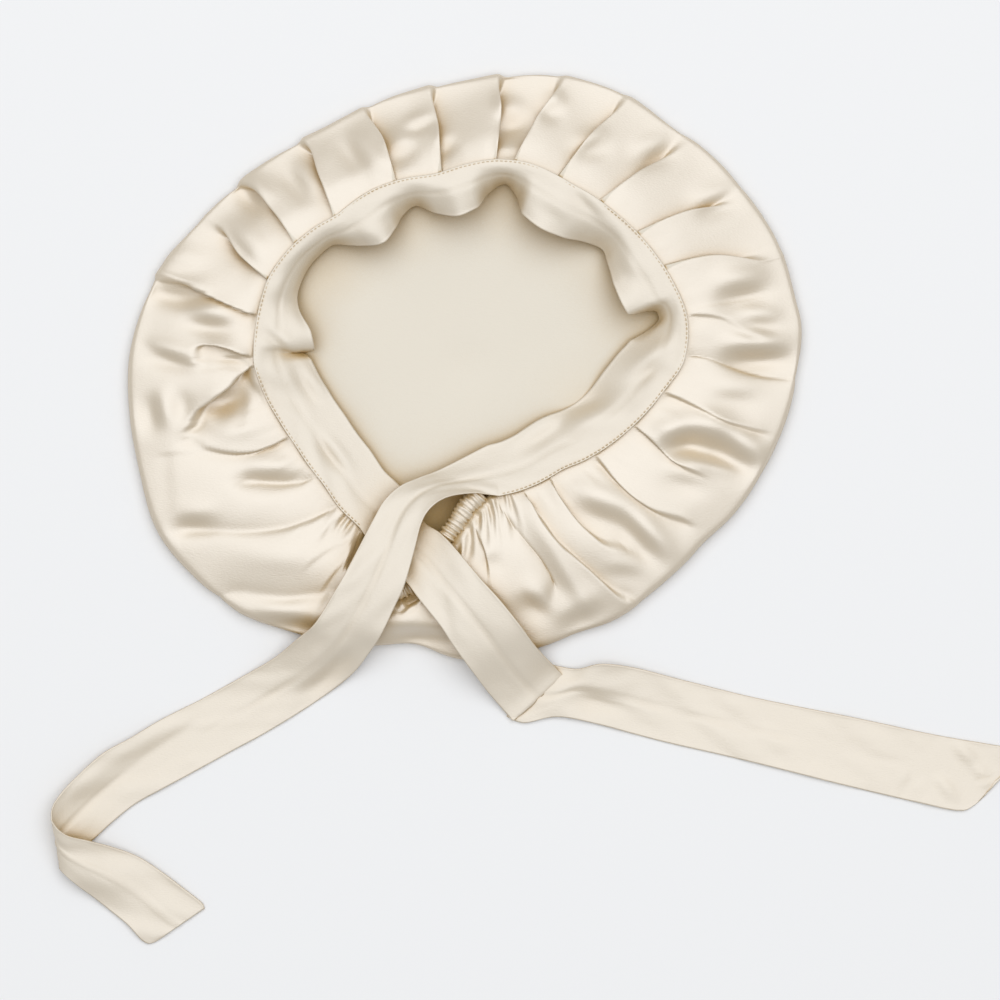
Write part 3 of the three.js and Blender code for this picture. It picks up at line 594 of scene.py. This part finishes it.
PLEATED = (12, 165)  # the part of the crown whose folds are all PLEATS
STEPS = (0.28, 0.9, 0.46)  # degrees between columns: at a pleat, between pleats, elsewhere
ROOF_ROWS = 40
ROOF_END = 0.96  # the share out of the last of them
RIM_ROWS = (0.978, 0.99, 0.996, 1)  # the roof's other rows, where it turns down
SMOOTHING = 3  # how often the roof's rows are averaged with their neighbours
ROLL_ROWS = 5
FLOOR_ROWS = 10
FLOOR_RISE = 0.4  # of the floor's edge
FLOOR_POLE = 1.2  # the height of its middle
CORE = 1.5  # degrees, half the back layer of a pleat
AT_PLEAT = 2.2 * CORE  # from a lip, with the closest columns
UNDERLAP = 4.5  # how far a deep pleat's lip lies over its valley
LIP_RUN = 13
VALLEY_RUN = 9
DRAWN = 6  # over which the cloth beside a pleat is drawn along
GATHERED = (-13, -6, 1, 8)  # degrees from the band's ends over which the nape's gathers fade

# The crown's unevenness, as the space between hills, their height and a seed

SOFT = (15, 0.9, 1)
FINE = (6, 0.12, 2)
PUCKERS = (3.6, 0.35, 3)
GATHERS = (3.2, 2.4, 8)
FLOOR = (34, 1.6, 4)


def crown_columns():
    start, end = PLEATED
    steps = [float(start)]
    while steps[-1] < start + 360:
        near = min(abs(apart(row[0], steps[-1])) for row in PLEATS)
        between = STEPS[1] if steps[-1] < end else STEPS[2]
        steps.append(steps[-1] + (STEPS[0] if near < AT_PLEAT else between))
    columns = np.array(steps[:-1])
    return start + (columns - start) * 360 / (steps[-1] - start)


def pleat_drift(row, out):
    """How far a pleat's lip has turned from its place at the band, at one share out."""
    at, middle, middle_out, end, end_out = row[:5]
    near = (middle - at) / middle_out
    bend = ((end - at) / end_out - near) / (end_out - middle_out)
    reached = min(out, end_out)
    return reached * (near + bend * (reached - middle_out))


def drifted(columns, out):
    """Each column's place once the pleats' lines have turned, at one share out."""
    rows = sorted(PLEATS)
    at = np.array([row[0] for row in rows])
    drift = np.array([pleat_drift(row, out) for row in rows])
    between = np.interp(columns, at, drift, left=0, right=0)
    edge = smooth(columns, at[0] - 6, at[0]) * (1 - smooth(columns, at[-1], at[-1] + 8))
    beyond = np.where(columns > at[-1], drift[-1] * edge, between)
    turned = columns + np.where(columns < at[0], drift[0] * edge, beyond)
    return np.maximum.accumulate(turned)


def pleats(columns, out, radius):
    """The sideways shift and the lift of the cloth in its pleats, at one share out."""
    shift = np.zeros_like(columns)
    lift = np.zeros_like(columns)
    core = math.radians(CORE) * radius
    for at, _, _, _, reach, depth, valley in PLEATS:
        across = np.radians(apart(at, columns)) * radius * valley
        beyond = np.maximum(0, np.abs(across) - core)
        wave = np.sin(math.pi / 2 * np.clip(across / core, -1, 1))
        run = np.where(across < 0, LIP_RUN, VALLEY_RUN)
        hold = 1 - smooth(out, 0.45 * reach, 1.15 * reach)
        over = hold * (core + (0.4 + 0.6 * min(1.2, depth)) * UNDERLAP * lerp(1, 0.3, out))
        shift -= over * wave * np.exp(-beyond / DRAWN) * valley
        swell = lerp(0.35, 1, smooth(out, 0, 0.3))
        swell *= 1 - 0.9 * smooth(out, 0.55 * reach, 1.2 * reach)
        lift -= 0.5 * depth * PLEAT_DEPTH * swell * wave * np.exp(-beyond / run)
    return shift, lift


def from_line(x, y, start, end):
    """Distances of points past the ends of a line in the photo's pixels, and to its left."""
    (ax, ay), (bx, by) = on_plan(*start), on_plan(*end)
    span = math.hypot(bx - ax, by - ay)
    ux, uy = (bx - ax) / span, (by - ay) / span
    along = (x - ax) * ux + (y - ay) * uy
    left = (y - ay) * ux - (x - ax) * uy
    past = np.maximum(0, np.maximum(-along, along - span))
    return past, left


def curved(points):
    """A line through points, as a smooth curve in short steps."""
    corners = np.array(points, float)
    tangents = np.gradient(corners, axis=0)
    made = []
    for i in range(len(corners) - 1):
        for t in np.arange(0, 1, 0.2):
            made.append(hermite(t, corners[i], tangents[i], corners[i + 1], tangents[i + 1]))
    return made + [corners[-1]]


EDGE = 1.0  # half the width of a fold's steep side
FADE = 6  # over which a fold's end fades
LAP_RUN = 5  # over which the cloth beside a lap is drawn along


def fold_moves(x, y, out):
    """How far the folds move points along X and Y, and lift them."""
    moves = np.zeros((3, *x.shape))
    for left_rise, left_run, right_rise, right_run, lap, *points in FOLDS:
        line = curved(points)
        nearest = np.full_like(x, np.inf)
        side, beyond, normal_x, normal_y, travel = np.zeros((5, *x.shape))
        for step, (start, end) in enumerate(zip(line, line[1:])):
            past, left = from_line(x, y, start, end)
            distance = np.hypot(past, left)
            closer = distance < nearest
            nearest = np.where(closer, distance, nearest)
            side = np.where(closer, np.sign(left) * distance, side)
            beyond = np.where(closer, past, beyond)
            across = np.array([end[1] - start[1], end[0] - start[0]])
            across /= np.linalg.norm(across)
            normal_x = np.where(closer, across[0], normal_x)
            normal_y = np.where(closer, across[1], normal_y)
            travel = np.where(closer, (step + 0.5) / (len(line) - 1), travel)
        hold = np.exp(-((beyond / FADE) ** 2))
        over = smooth(side, -EDGE, EDGE)
        high = left_rise * np.exp(-np.maximum(side, 0) / left_run)
        low = right_rise * np.exp(-np.maximum(-side, 0) / right_run)
        ends = smooth(travel, 0, 0.3) * (1 - smooth(travel, 0.7, 1))
        slide = -lap * (2 * over - 1) * np.exp(-np.maximum(0, np.abs(side) - EDGE) / LAP_RUN)
        slide *= np.maximum(ends, 1 - smooth(out, 0.1, 0.3))
        moves[0] += hold * slide * normal_x
        moves[1] += hold * slide * normal_y
        moves[2] += hold * (over * high + (1 - over) * low)
    return moves


def patch(x, y, row):
    """Distances to the left of a short line, in its widths, and how near its middle, 0 to 1."""
    x1, y1, x2, y2, width, _ = row
    (ax, ay), (bx, by) = on_plan(x1, y1), on_plan(x2, y2)
    wide = width * PHOTO_MM
    span = math.hypot(bx - ax, by - ay)
    _, left = from_line(x, y, (x1, y1), (x2, y2))
    along = (x - (ax + bx) / 2) * (bx - ax) / span + (y - (ay + by) / 2) * (by - ay) / span
    length = span / 2 + 0.4 * wide
    return left / wide, np.exp(-((along / length) ** 2) * 0.8 - 0.4 * (along / length) ** 4)


def dent_lift(x, y, slopes, ridges):
    lift = np.zeros_like(x)
    for row in slopes:
        left, near = patch(x, y, row)
        lift += row[-1] * near * left * np.exp(0.5 - left**2 / 2)
    for row in ridges:
        left, near = patch(x, y, row)
        lift += row[-1] * near * np.exp(-(left**2))
    return lift


def on_cloth(at, out, along, across):
    """Places on the roof for its hills: along is millimetres a degree, across the roof's."""
    return np.stack([at * along, np.full_like(at, out * across), np.zeros_like(at)], -1)


def roof_hills(at, out):
    """How far the roof's unevenness, its puckers at the band and the nape's gathers lift it."""
    inside = smooth(out, 0, 0.12)
    spot = on_cloth(at, out, 1.4, 14)
    lift = (wobble(spot, SOFT) + wobble(spot, FINE)) * inside
    puckers = wobble(on_cloth(at, out, 1.6, 7), PUCKERS)
    lift += puckers * (1 - smooth(out, 0.0, 0.3)) * (0.4 + 0.6 * inside)
    nape = smooth(at, NAPE_LEFT + GATHERED[0], NAPE_LEFT + GATHERED[1])
    nape *= 1 - smooth(at, NAPE_RIGHT + GATHERED[2], NAPE_RIGHT + GATHERED[3])
    gathers = wobble(on_cloth(at, out, 1.8, 24), GATHERS)
    return lift + gathers * nape * (1 - smooth(out, 0.0, 0.35))


def roof_direction(at, out, step=0.02):
    """The roof's rise and run outwards, for a length of 1."""
    outer = min(1, out + step)
    rise = roof_height(at, np.full_like(at, outer)) - roof_height(at, np.full_like(at, out - step))
    run = (rim_radius(at) - mouth_radius(at)) * (outer - out + step)
    length = np.hypot(rise, run)
    return rise / length, run / length


def roof_row(columns, out):
    """One ring of the roof, moved by its pleats, folds, dents and hills."""
    at = drifted(columns, out)
    radius = lerp(mouth_radius(at), rim_radius(at), out)
    shift, lift = pleats(columns, out, radius)
    at = at + np.degrees(shift / radius)
    radius = lerp(mouth_radius(at), rim_radius(at), out)
    height = roof_height(at, np.full_like(at, out))
    x, y = on_circle(at, radius)
    calm = 1 - 0.5 * smooth(out, 0.9, 1)
    folded = fold_moves(x, y, out) * smooth(out, 0, 0.06) * calm
    dents = dent_lift(x, y, SLOPES, RIDGES) * smooth(out, 0, 0.12)
    lift += folded[2] + dents * calm + roof_hills(at, out)
    rise, run = roof_direction(at, out)
    x, y = on_circle(at, radius - rise * lift)
    return np.stack([x + folded[0], y + folded[1], height + run * lift], -1)


def roll_row(rim, turned):
    """One ring of the rolled rim, turned 0 to 1 from the roof to the floor."""
    angle = math.pi / 2 * turned
    size = np.hypot(rim[:, 0], rim[:, 1])[:, None]
    inset = 1 - ROLL_INSET * (1 - math.cos(angle)) / size
    height = rim[:, 2:] * (1 - math.sin(angle)) + FLOOR_RISE
    return np.hstack([rim[:, :2] * inset, height])


def floor_row(foot, share):
    """One ring of the floor, with soft creases aslant over it."""
    ring = foot * [share, share, 1]
    slanted = np.stack([ring[:, 0] - 0.66 * ring[:, 1], ring[:, 1] * 0.1, np.zeros(len(ring))], -1)
    ring[:, 2] += (FLOOR[1] + wobble(slanted, FLOOR)) * min(1, 2 * (1 - share))
    return ring


def margin_row(columns):
    """The margin's edge, sewn under the band."""
    seam, outward = seam_frame(columns)
    height = seam_height(columns) - seam_slope(columns) * MARGIN
    return np.hstack([seam - outward * MARGIN, height[:, None]])


def crown_points():
    columns = crown_columns()
    shares = [*np.linspace(0, ROOF_END, ROOF_ROWS), *RIM_ROWS]
    roof = np.array([roof_row(columns, out) for out in shares])
    for _ in range(SMOOTHING):
        roof[2:-5] = (roof[1:-6] + 2 * roof[2:-5] + roof[3:-4]) / 4
    rolled = [roll_row(roof[-1], step / ROLL_ROWS) for step in range(1, ROLL_ROWS + 1)]
    shares = np.linspace(1, 0.06, FLOOR_ROWS + 1)[1:]
    floor = [floor_row(rolled[-1], share) for share in shares]
    return np.array([margin_row(columns), *roof, *rolled, *floor])


def make_crown():
    made = add_grid("crown_cloth", crown_points(), closed=True, pole=(0, 0, FLOOR_POLE))
    solidify(made, CLOTH, -1, inside=1)
    return made


# The strip: the brow band, and a tie at each end of it

BAND_RISE = 1.3  # of the band's middle over the crown's margin
BAND_STEP = 0.8  # degrees
BAND_LOWEST = 2.2  # of its free edge
BAND_SPREAD = 6  # degrees either side over which its direction is taken
BAND_CALM = 0.55  # of the strip's unevenness, in the band
TIE_STEP = 1.6
TIE_BLEND = 18  # steps over which a tie loses the curve of the band's end
STRIP_LOWEST = 0.6
ACROSS = 19
HEM = 0.4  # the rows beside the strip's edges, as a share of the step across
HEM_RISE = 0.3
HEM_WIDTH = 0.6
CREASE_DEPTH = 0.6  # along the strip's middle
CREASE_SPREAD = 1.6

# The strip's unevenness, as the space between hills, their height and a seed

STRIP_SOFT = (9, 0.55, 5)
STRIP_FINE = (2.6, 0.12, 6)
STRIP_ASLANT = (9, 0.75, 9)


def band_section(at):
    """Points across the band from the sewn edge to the free edge, at one angle."""
    seam, _ = seam_frame(np.array(float(at)))
    before, _ = seam_frame(np.array(max(at - BAND_SPREAD, NAPE_RIGHT)))
    after, _ = seam_frame(np.array(min(at + BAND_SPREAD, 360 + NAPE_LEFT)))
    along = (after - before) / np.linalg.norm(after - before)
    outward = np.array([along[1], -along[0]])
    slope = math.atan(seam_slope(at))
    height = float(seam_height(at))

    def on_margin(length):
        inward = length * math.cos(slope) + BAND_RISE * math.sin(slope)
        return np.append(seam - outward * inward, height - length * math.sin(slope) + BAND_RISE)

    start = on_margin(0)
    bend = on_margin(0.3 * STRIP_WIDTH)
    free_height = max(float(wave_height(at)) * CROWN_HEIGHT, BAND_LOWEST)
    free = np.append(seam - outward * float(wave_reach(at)) * STRIP_WIDTH, free_height)
    t = np.linspace(0, 1, ACROSS)[:, None]
    return (1 - t) ** 2 * start + 2 * t * (1 - t) * bend + t**2 * free


def tie_sections(rows, band_end):
    """Points across a tie at close steps along it, going on from the band's end."""
    ends = [np.concatenate([band_end[0], band_end[-1]])]
    for sewn_x, sewn_y, free_x, free_y, sewn_z, free_z in rows:
        ends.append(np.array([*on_plan(sewn_x, sewn_y), sewn_z, *on_plan(free_x, free_y), free_z]))
    ends = np.array(ends)
    tangents = np.gradient(ends, axis=0)
    edges = []
    for i in range(len(ends) - 1):
        sewn, free = ends[i + 1, :3] - ends[i, :3], ends[i + 1, 3:] - ends[i, 3:]
        steps = max(3, int(max(np.linalg.norm(sewn), np.linalg.norm(free)) / TIE_STEP))
        for k in range(1, steps + 1):
            edges.append(hermite(k / steps, ends[i], tangents[i], ends[i + 1], tangents[i + 1]))
    across = np.linspace(0, 1, ACROSS)[:, None]
    bow = band_end - lerp(band_end[0], band_end[-1], across)
    made = []
    for i, edge in enumerate(edges):
        made.append(lerp(edge[:3], edge[3:], across) + bow * max(0, 1 - i / TIE_BLEND))
    return made


def strip_points():
    """The strip's points from end to end, and where in them the band starts and ends."""
    angles = np.arange(NAPE_RIGHT, 360 + NAPE_LEFT, BAND_STEP)
    band = [band_section(at) for at in angles]
    left = tie_sections(LEFT_TIE, band[0])
    right = tie_sections(RIGHT_TIE, band[-1])
    points = np.array(left[::-1] + band + right)
    return points, len(left), len(left) + len(band)


def strip_hills(along, across):
    """How far the strip's unevenness and its middle crease lift it."""
    spot = np.stack(np.broadcast_arrays(along * 0.35, across, 0.0), -1)
    lift = wobble(spot, STRIP_SOFT) + wobble(spot, STRIP_FINE)
    lift -= CREASE_DEPTH * np.exp(-((across - STRIP_WIDTH / 2) ** 2) / CREASE_SPREAD)
    aslant = np.broadcast_arrays(along * 0.5 + across * 0.9, across * 0.25, 0.0)
    return lift + wobble(np.stack(aslant, -1), STRIP_ASLANT)


def make_strip():
    points, first, last = strip_points()
    places = np.sort([*np.arange(ACROSS), HEM, ACROSS - 1 - HEM])
    low = np.minimum(places.astype(int), ACROSS - 2)
    points = lerp(points[:, low], points[:, low + 1], (places - low)[None, :, None])
    along = run_along(points[:, ACROSS // 2])[:, None]
    across = STRIP_WIDTH * places[None] / (ACROSS - 1)
    normal = np.cross(np.gradient(points, axis=0), np.gradient(points, axis=1))
    normal /= np.maximum(1e-9, np.linalg.norm(normal, axis=-1, keepdims=True))
    lift = strip_hills(along, across)
    lift[first:last] *= BAND_CALM
    upward = np.where(normal[..., 2:] < 0, -1, 1)
    worked = dent_lift(points[..., 0], points[..., 1], STRIP_SLOPES, STRIP_RIDGES)
    worked += HEM_RISE * np.exp(-(((STRIP_WIDTH - across) / HEM_WIDTH) ** 2))
    points = points + normal * (lift[..., None] + upward * worked[..., None])
    points[..., 2] = np.maximum(points[..., 2], STRIP_LOWEST)
    made = add_grid("band_and_ties", points)
    add_uv(made, *np.broadcast_arrays(along * MM, across * MM))
    solidify(made, STRIP, 0)
    return made


# The nape's elastic casing

CASING_SIDES = 16
CASING_HALVES = (4.3, 2.5)  # half its width and half its height
CASING_INSET = 6.5  # from the sewn edge to its middle
CASING_DROP = 0.6  # of its middle under the margin
CASING_STEP = 0.45
RUCHE_PITCH = 2.3
RUCHE_DEPTHS = (0.14, 0.4)
RUCHE_RUN = 0.6
FRILLS = (1.9, 0.22, 11)  # the space between hills, their height and a seed


def make_casing():
    rng = random.Random(7)
    angles = np.linspace(NAPE_LEFT + 1, NAPE_RIGHT - 4, 160)
    seam, outward = seam_frame(angles)
    height = seam_height(angles) - seam_slope(angles) * MARGIN - CASING_DROP
    line = np.hstack([seam - outward * CASING_INSET, height[:, None]])
    length = run_along(line)
    count = int(length[-1] / CASING_STEP)
    even = np.linspace(0, length[-1], count)
    line = at_lengths(line, length, even)
    side = np.gradient(line, axis=0)
    side = np.stack([side[:, 1], -side[:, 0], np.zeros(count)], -1)
    side /= np.linalg.norm(side, axis=-1, keepdims=True)
    gathers = []
    at = 0.0
    while at < length[-1]:
        gathers.append(at)
        at += RUCHE_PITCH * rng.uniform(0.7, 1.3)
    depths = {place: rng.uniform(*RUCHE_DEPTHS) for place in gathers}
    spot = np.broadcast_arrays(even[:, None], np.arange(CASING_SIDES) * 1.1, 0.0)
    frills = wobble(np.stack(spot, -1), FRILLS)
    rings = []
    for i in range(count):
        near = min(gathers, key=lambda g: abs(g - even[i]))
        dip = math.exp(-(((even[i] - near) / RUCHE_RUN) ** 2))
        ring = []
        for k in range(CASING_SIDES):
            angle = 2 * math.pi * k / CASING_SIDES
            lean = 0.5 * math.sin(3 * angle + near)
            swell = 1.1 - depths[near] * dip + 0.05 * lean + frills[i, k]
            offset = side[i] * math.cos(angle) * CASING_HALVES[0] * swell
            ring.append(line[i] + offset + [0, 0, math.sin(angle) * CASING_HALVES[1] * swell])
        rings.append(ring)
    return add_grid("elastic_casing", np.array(rings).transpose(1, 0, 2)[::-1])


# The stitches

STITCH_PITCH = 2.1
STITCH_LENGTH = 1.4
STITCH_RADIUS = 0.2
STITCH_INSET = 1.5
STITCH_SIDES = 6
STITCH_RINGS = ((0, 0.35), (0.15, 0.9), (0.5, 1.1), (0.85, 0.9), (1, 0.35))  # share, size
STITCH_DIP = 0.25  # of a stitch's ends into the cloth


def make_stitches():
    """One row of topstitches just inside the band's sewn edge."""
    share = STITCH_INSET / STRIP_WIDTH
    line = []
    for at in np.arange(NAPE_RIGHT + 0.5, 360 + NAPE_LEFT - 0.5, 0.25):
        section = band_section(at)
        line.append(lerp(section[0], section[1], share * (ACROSS - 1)) + [0, 0, STRIP / 2 + 0.1])
    line = np.array(line)
    length = run_along(line)
    vertices, faces = [], []
    for start in np.arange(1, length[-1] - STITCH_LENGTH, STITCH_PITCH):
        a, b = at_lengths(line, length, [start, start + STITCH_LENGTH])
        along = (b - a) / np.linalg.norm(b - a)
        side = np.cross(along, [0, 0, 1])
        side /= np.linalg.norm(side)
        up = np.cross(side, along)
        base = len(vertices)
        for share, size in STITCH_RINGS:
            centre = lerp(a, b, share) - up * (STITCH_DIP if share in (0, 1) else 0)
            for k in range(STITCH_SIDES):
                angle = 2 * math.pi * k / STITCH_SIDES
                ring = side * math.cos(angle) + up * math.sin(angle)
                vertices.append(tuple((centre + ring * STITCH_RADIUS * size) * MM))
        for low in range(base, len(vertices) - STITCH_SIDES, STITCH_SIDES):
            high = low + STITCH_SIDES
            for k in range(STITCH_SIDES):
                n = (k + 1) % STITCH_SIDES
                faces.append((low + k, low + n, high + n, high + k))
        last = len(vertices) - STITCH_SIDES
        faces.append(tuple(base + k for k in reversed(range(STITCH_SIDES))))
        faces.append(tuple(last + k for k in range(STITCH_SIDES)))
    return add_mesh("topstitches", vertices, faces)


# Materials

PAINTED_HOLLOW_SHADE = (0.5, 0.33, 0.11, 1)  # painted shade: the warm brown mixed into the colour in hollows, for shade warmed by light through the silk
PAINTED_SHADE_REACH = 0.03  # metres from cloth to cloth within which a hollow gets painted shade
PAINTED_SHADE_FULL = 0.36  # the share of open sky at which a hollow has all of the painted shade
CLOUDS = 14  # the scale of the colour's slight changes
CLOUD_TINT = 0.96
THREAD_STRETCH = 0.35
WEAVE_DEPTH = 0.0004


def material(name, colour, roughness, weave, weave_scale, shine=0.5, index=1.5):
    """Woven silk: a broad soft shine, a fine weave in the normal, and painted shade in its hollows.
    """
    made = bpy.data.materials.new(name)
    made.use_nodes = True
    nodes, links = made.node_tree.nodes, made.node_tree.links
    shader = nodes["Principled BSDF"]
    shader.inputs["Roughness"].default_value = roughness
    shader.inputs["Specular IOR Level"].default_value = shine
    shader.inputs["IOR"].default_value = index
    place = nodes.new("ShaderNodeTexCoord")
    cloudy = nodes.new("ShaderNodeTexNoise")
    cloudy.inputs["Scale"].default_value = CLOUDS
    cloudy.inputs["Detail"].default_value = 4
    links.new(place.outputs["Object"], cloudy.inputs["Vector"])
    tint = nodes.new("ShaderNodeMix")
    tint.data_type = "RGBA"
    tint.inputs["A"].default_value = (*(CLOUD_TINT * c for c in colour), 1)
    tint.inputs["B"].default_value = (*colour, 1)
    links.new(cloudy.outputs["Fac"], tint.inputs["Factor"])
    # Painted shade: ambient occlusion mixes the warm brown into the colour where cloth closes round a
    # hollow
    shade_occlusion = nodes.new("ShaderNodeAmbientOcclusion")
    shade_occlusion.samples = 6
    shade_occlusion.inputs["Distance"].default_value = PAINTED_SHADE_REACH
    depth = nodes.new("ShaderNodeMapRange")
    depth.inputs["From Min"].default_value = PAINTED_SHADE_FULL
    depth.inputs["From Max"].default_value = 1
    links.new(shade_occlusion.outputs["AO"], depth.inputs["Value"])
    shade = nodes.new("ShaderNodeMix")
    shade.data_type = "RGBA"
    shade.inputs["A"].default_value = PAINTED_HOLLOW_SHADE
    links.new(depth.outputs["Result"], shade.inputs["Factor"])
    links.new(tint.outputs["Result"], shade.inputs["B"])
    links.new(shade.outputs["Result"], shader.inputs["Base Color"])
    threads = nodes.new("ShaderNodeMapping")
    threads.inputs["Scale"].default_value = (THREAD_STRETCH, 1, 1)
    links.new(place.outputs["Object"], threads.inputs["Vector"])
    fine = nodes.new("ShaderNodeTexNoise")
    fine.inputs["Scale"].default_value = weave_scale
    fine.inputs["Detail"].default_value = 3
    links.new(threads.outputs["Vector"], fine.inputs["Vector"])
    bump = nodes.new("ShaderNodeBump")
    bump.inputs["Strength"].default_value = weave
    bump.inputs["Distance"].default_value = WEAVE_DEPTH
    links.new(fine.outputs["Fac"], bump.inputs["Height"])
    links.new(bump.outputs["Normal"], shader.inputs["Normal"])
    return made


# Each of these materials has the painted shade in its hollows
SATIN = material("satin_face", (0.63, 0.545, 0.42), 0.43, 0.24, 2000, shine=1.0, index=2.2)
RIBBON = material("satin_strip", (0.69, 0.62, 0.51), 0.48, 0.26, 2000, shine=0.85, index=2.0)
MATTE = material("matte_reverse", (0.76, 0.715, 0.625), 0.62, 0.18, 1400, shine=0.4)
THREAD = material("thread", (0.66, 0.56, 0.41), 0.5, 0.3, 3000)

# Assembly

crown = make_crown()
strip = make_strip()
casing = make_casing()
stitches = make_stitches()
crown.data.materials.append(SATIN)
crown.data.materials.append(MATTE)
strip.data.materials.append(RIBBON)
casing.data.materials.append(SATIN)
stitches.data.materials.append(THREAD)
for piece in (crown, strip, casing, stitches):
    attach(piece, "root")
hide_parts("crown")
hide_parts("brow_band", "tie_left", "tie_right")
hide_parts("nape_casing")

# Studio: a pale floor, one broad light from beyond the brow, and a pale surround, in metres

FLOOR_SIZE = 6
FLOOR_COLOUR = (0.83, 0.845, 0.868, 1)
FLOOR_ROUGHNESS = 0.9
SURROUND_COLOUR = (1, 0.98, 0.95, 1)
SURROUND_POWER = 0.36
SOFTBOX_PLACE = (0.05, 0.6, 3.0)
SOFTBOX_SIZE = 5.4
SOFTBOX_POWER = 117


def make_light():
    light = bpy.data.lights.new("softbox", "AREA")
    light.shape = "DISK"
    light.size = SOFTBOX_SIZE
    light.energy = SOFTBOX_POWER
    made = bpy.data.objects.new("softbox", light)
    bpy.context.scene.collection.objects.link(made)
    made.location = Vector(SOFTBOX_PLACE)
    made.rotation_euler = (-made.location).to_track_quat("-Z", "Y").to_euler()
    return made


def make_studio():
    scene = bpy.context.scene
    bpy.ops.mesh.primitive_plane_add(size=FLOOR_SIZE, location=(0, 0, 0))
    floor = bpy.context.object
    floor.name = "floor"
    pale = bpy.data.materials.new("floor")
    pale.use_nodes = True
    shader = pale.node_tree.nodes["Principled BSDF"]
    shader.inputs["Base Color"].default_value = FLOOR_COLOUR
    shader.inputs["Roughness"].default_value = FLOOR_ROUGHNESS
    floor.data.materials.append(pale)
    world = bpy.data.worlds.new("studio")
    world.use_nodes = True
    background = world.node_tree.nodes["Background"]
    background.inputs["Color"].default_value = SURROUND_COLOUR
    background.inputs["Strength"].default_value = SURROUND_POWER
    scene.world = world
    scene.view_settings.view_transform = "Standard"
    make_light()


# The camera, from straight above the photo's middle but for one degree, in millimetres

PHOTO_SIZE = 1000  # pixels
CAMERA_TILT = 89  # elevation of the view
CAMERA_DISTANCE = 2400
CAMERA_TARGET = (*on_plan(PHOTO_SIZE / 2, PHOTO_SIZE / 2), 8)
CAMERA_SENSOR = 36


def make_camera():
    tilt = math.radians(CAMERA_TILT)
    data = bpy.data.cameras.new("camera")
    data.sensor_width = CAMERA_SENSOR
    data.lens = CAMERA_SENSOR * CAMERA_DISTANCE / (PHOTO_SIZE * PHOTO_MM)
    camera = bpy.data.objects.new("camera", data)
    bpy.context.scene.collection.objects.link(camera)
    target = Vector(CAMERA_TARGET) * MM
    camera.location = target + Vector((0, -math.cos(tilt), math.sin(tilt))) * CAMERA_DISTANCE * MM
    camera.rotation_euler = (target - camera.location).to_track_quat("-Z", "Y").to_euler()
    bpy.context.scene.camera = camera


make_studio()
make_camera()
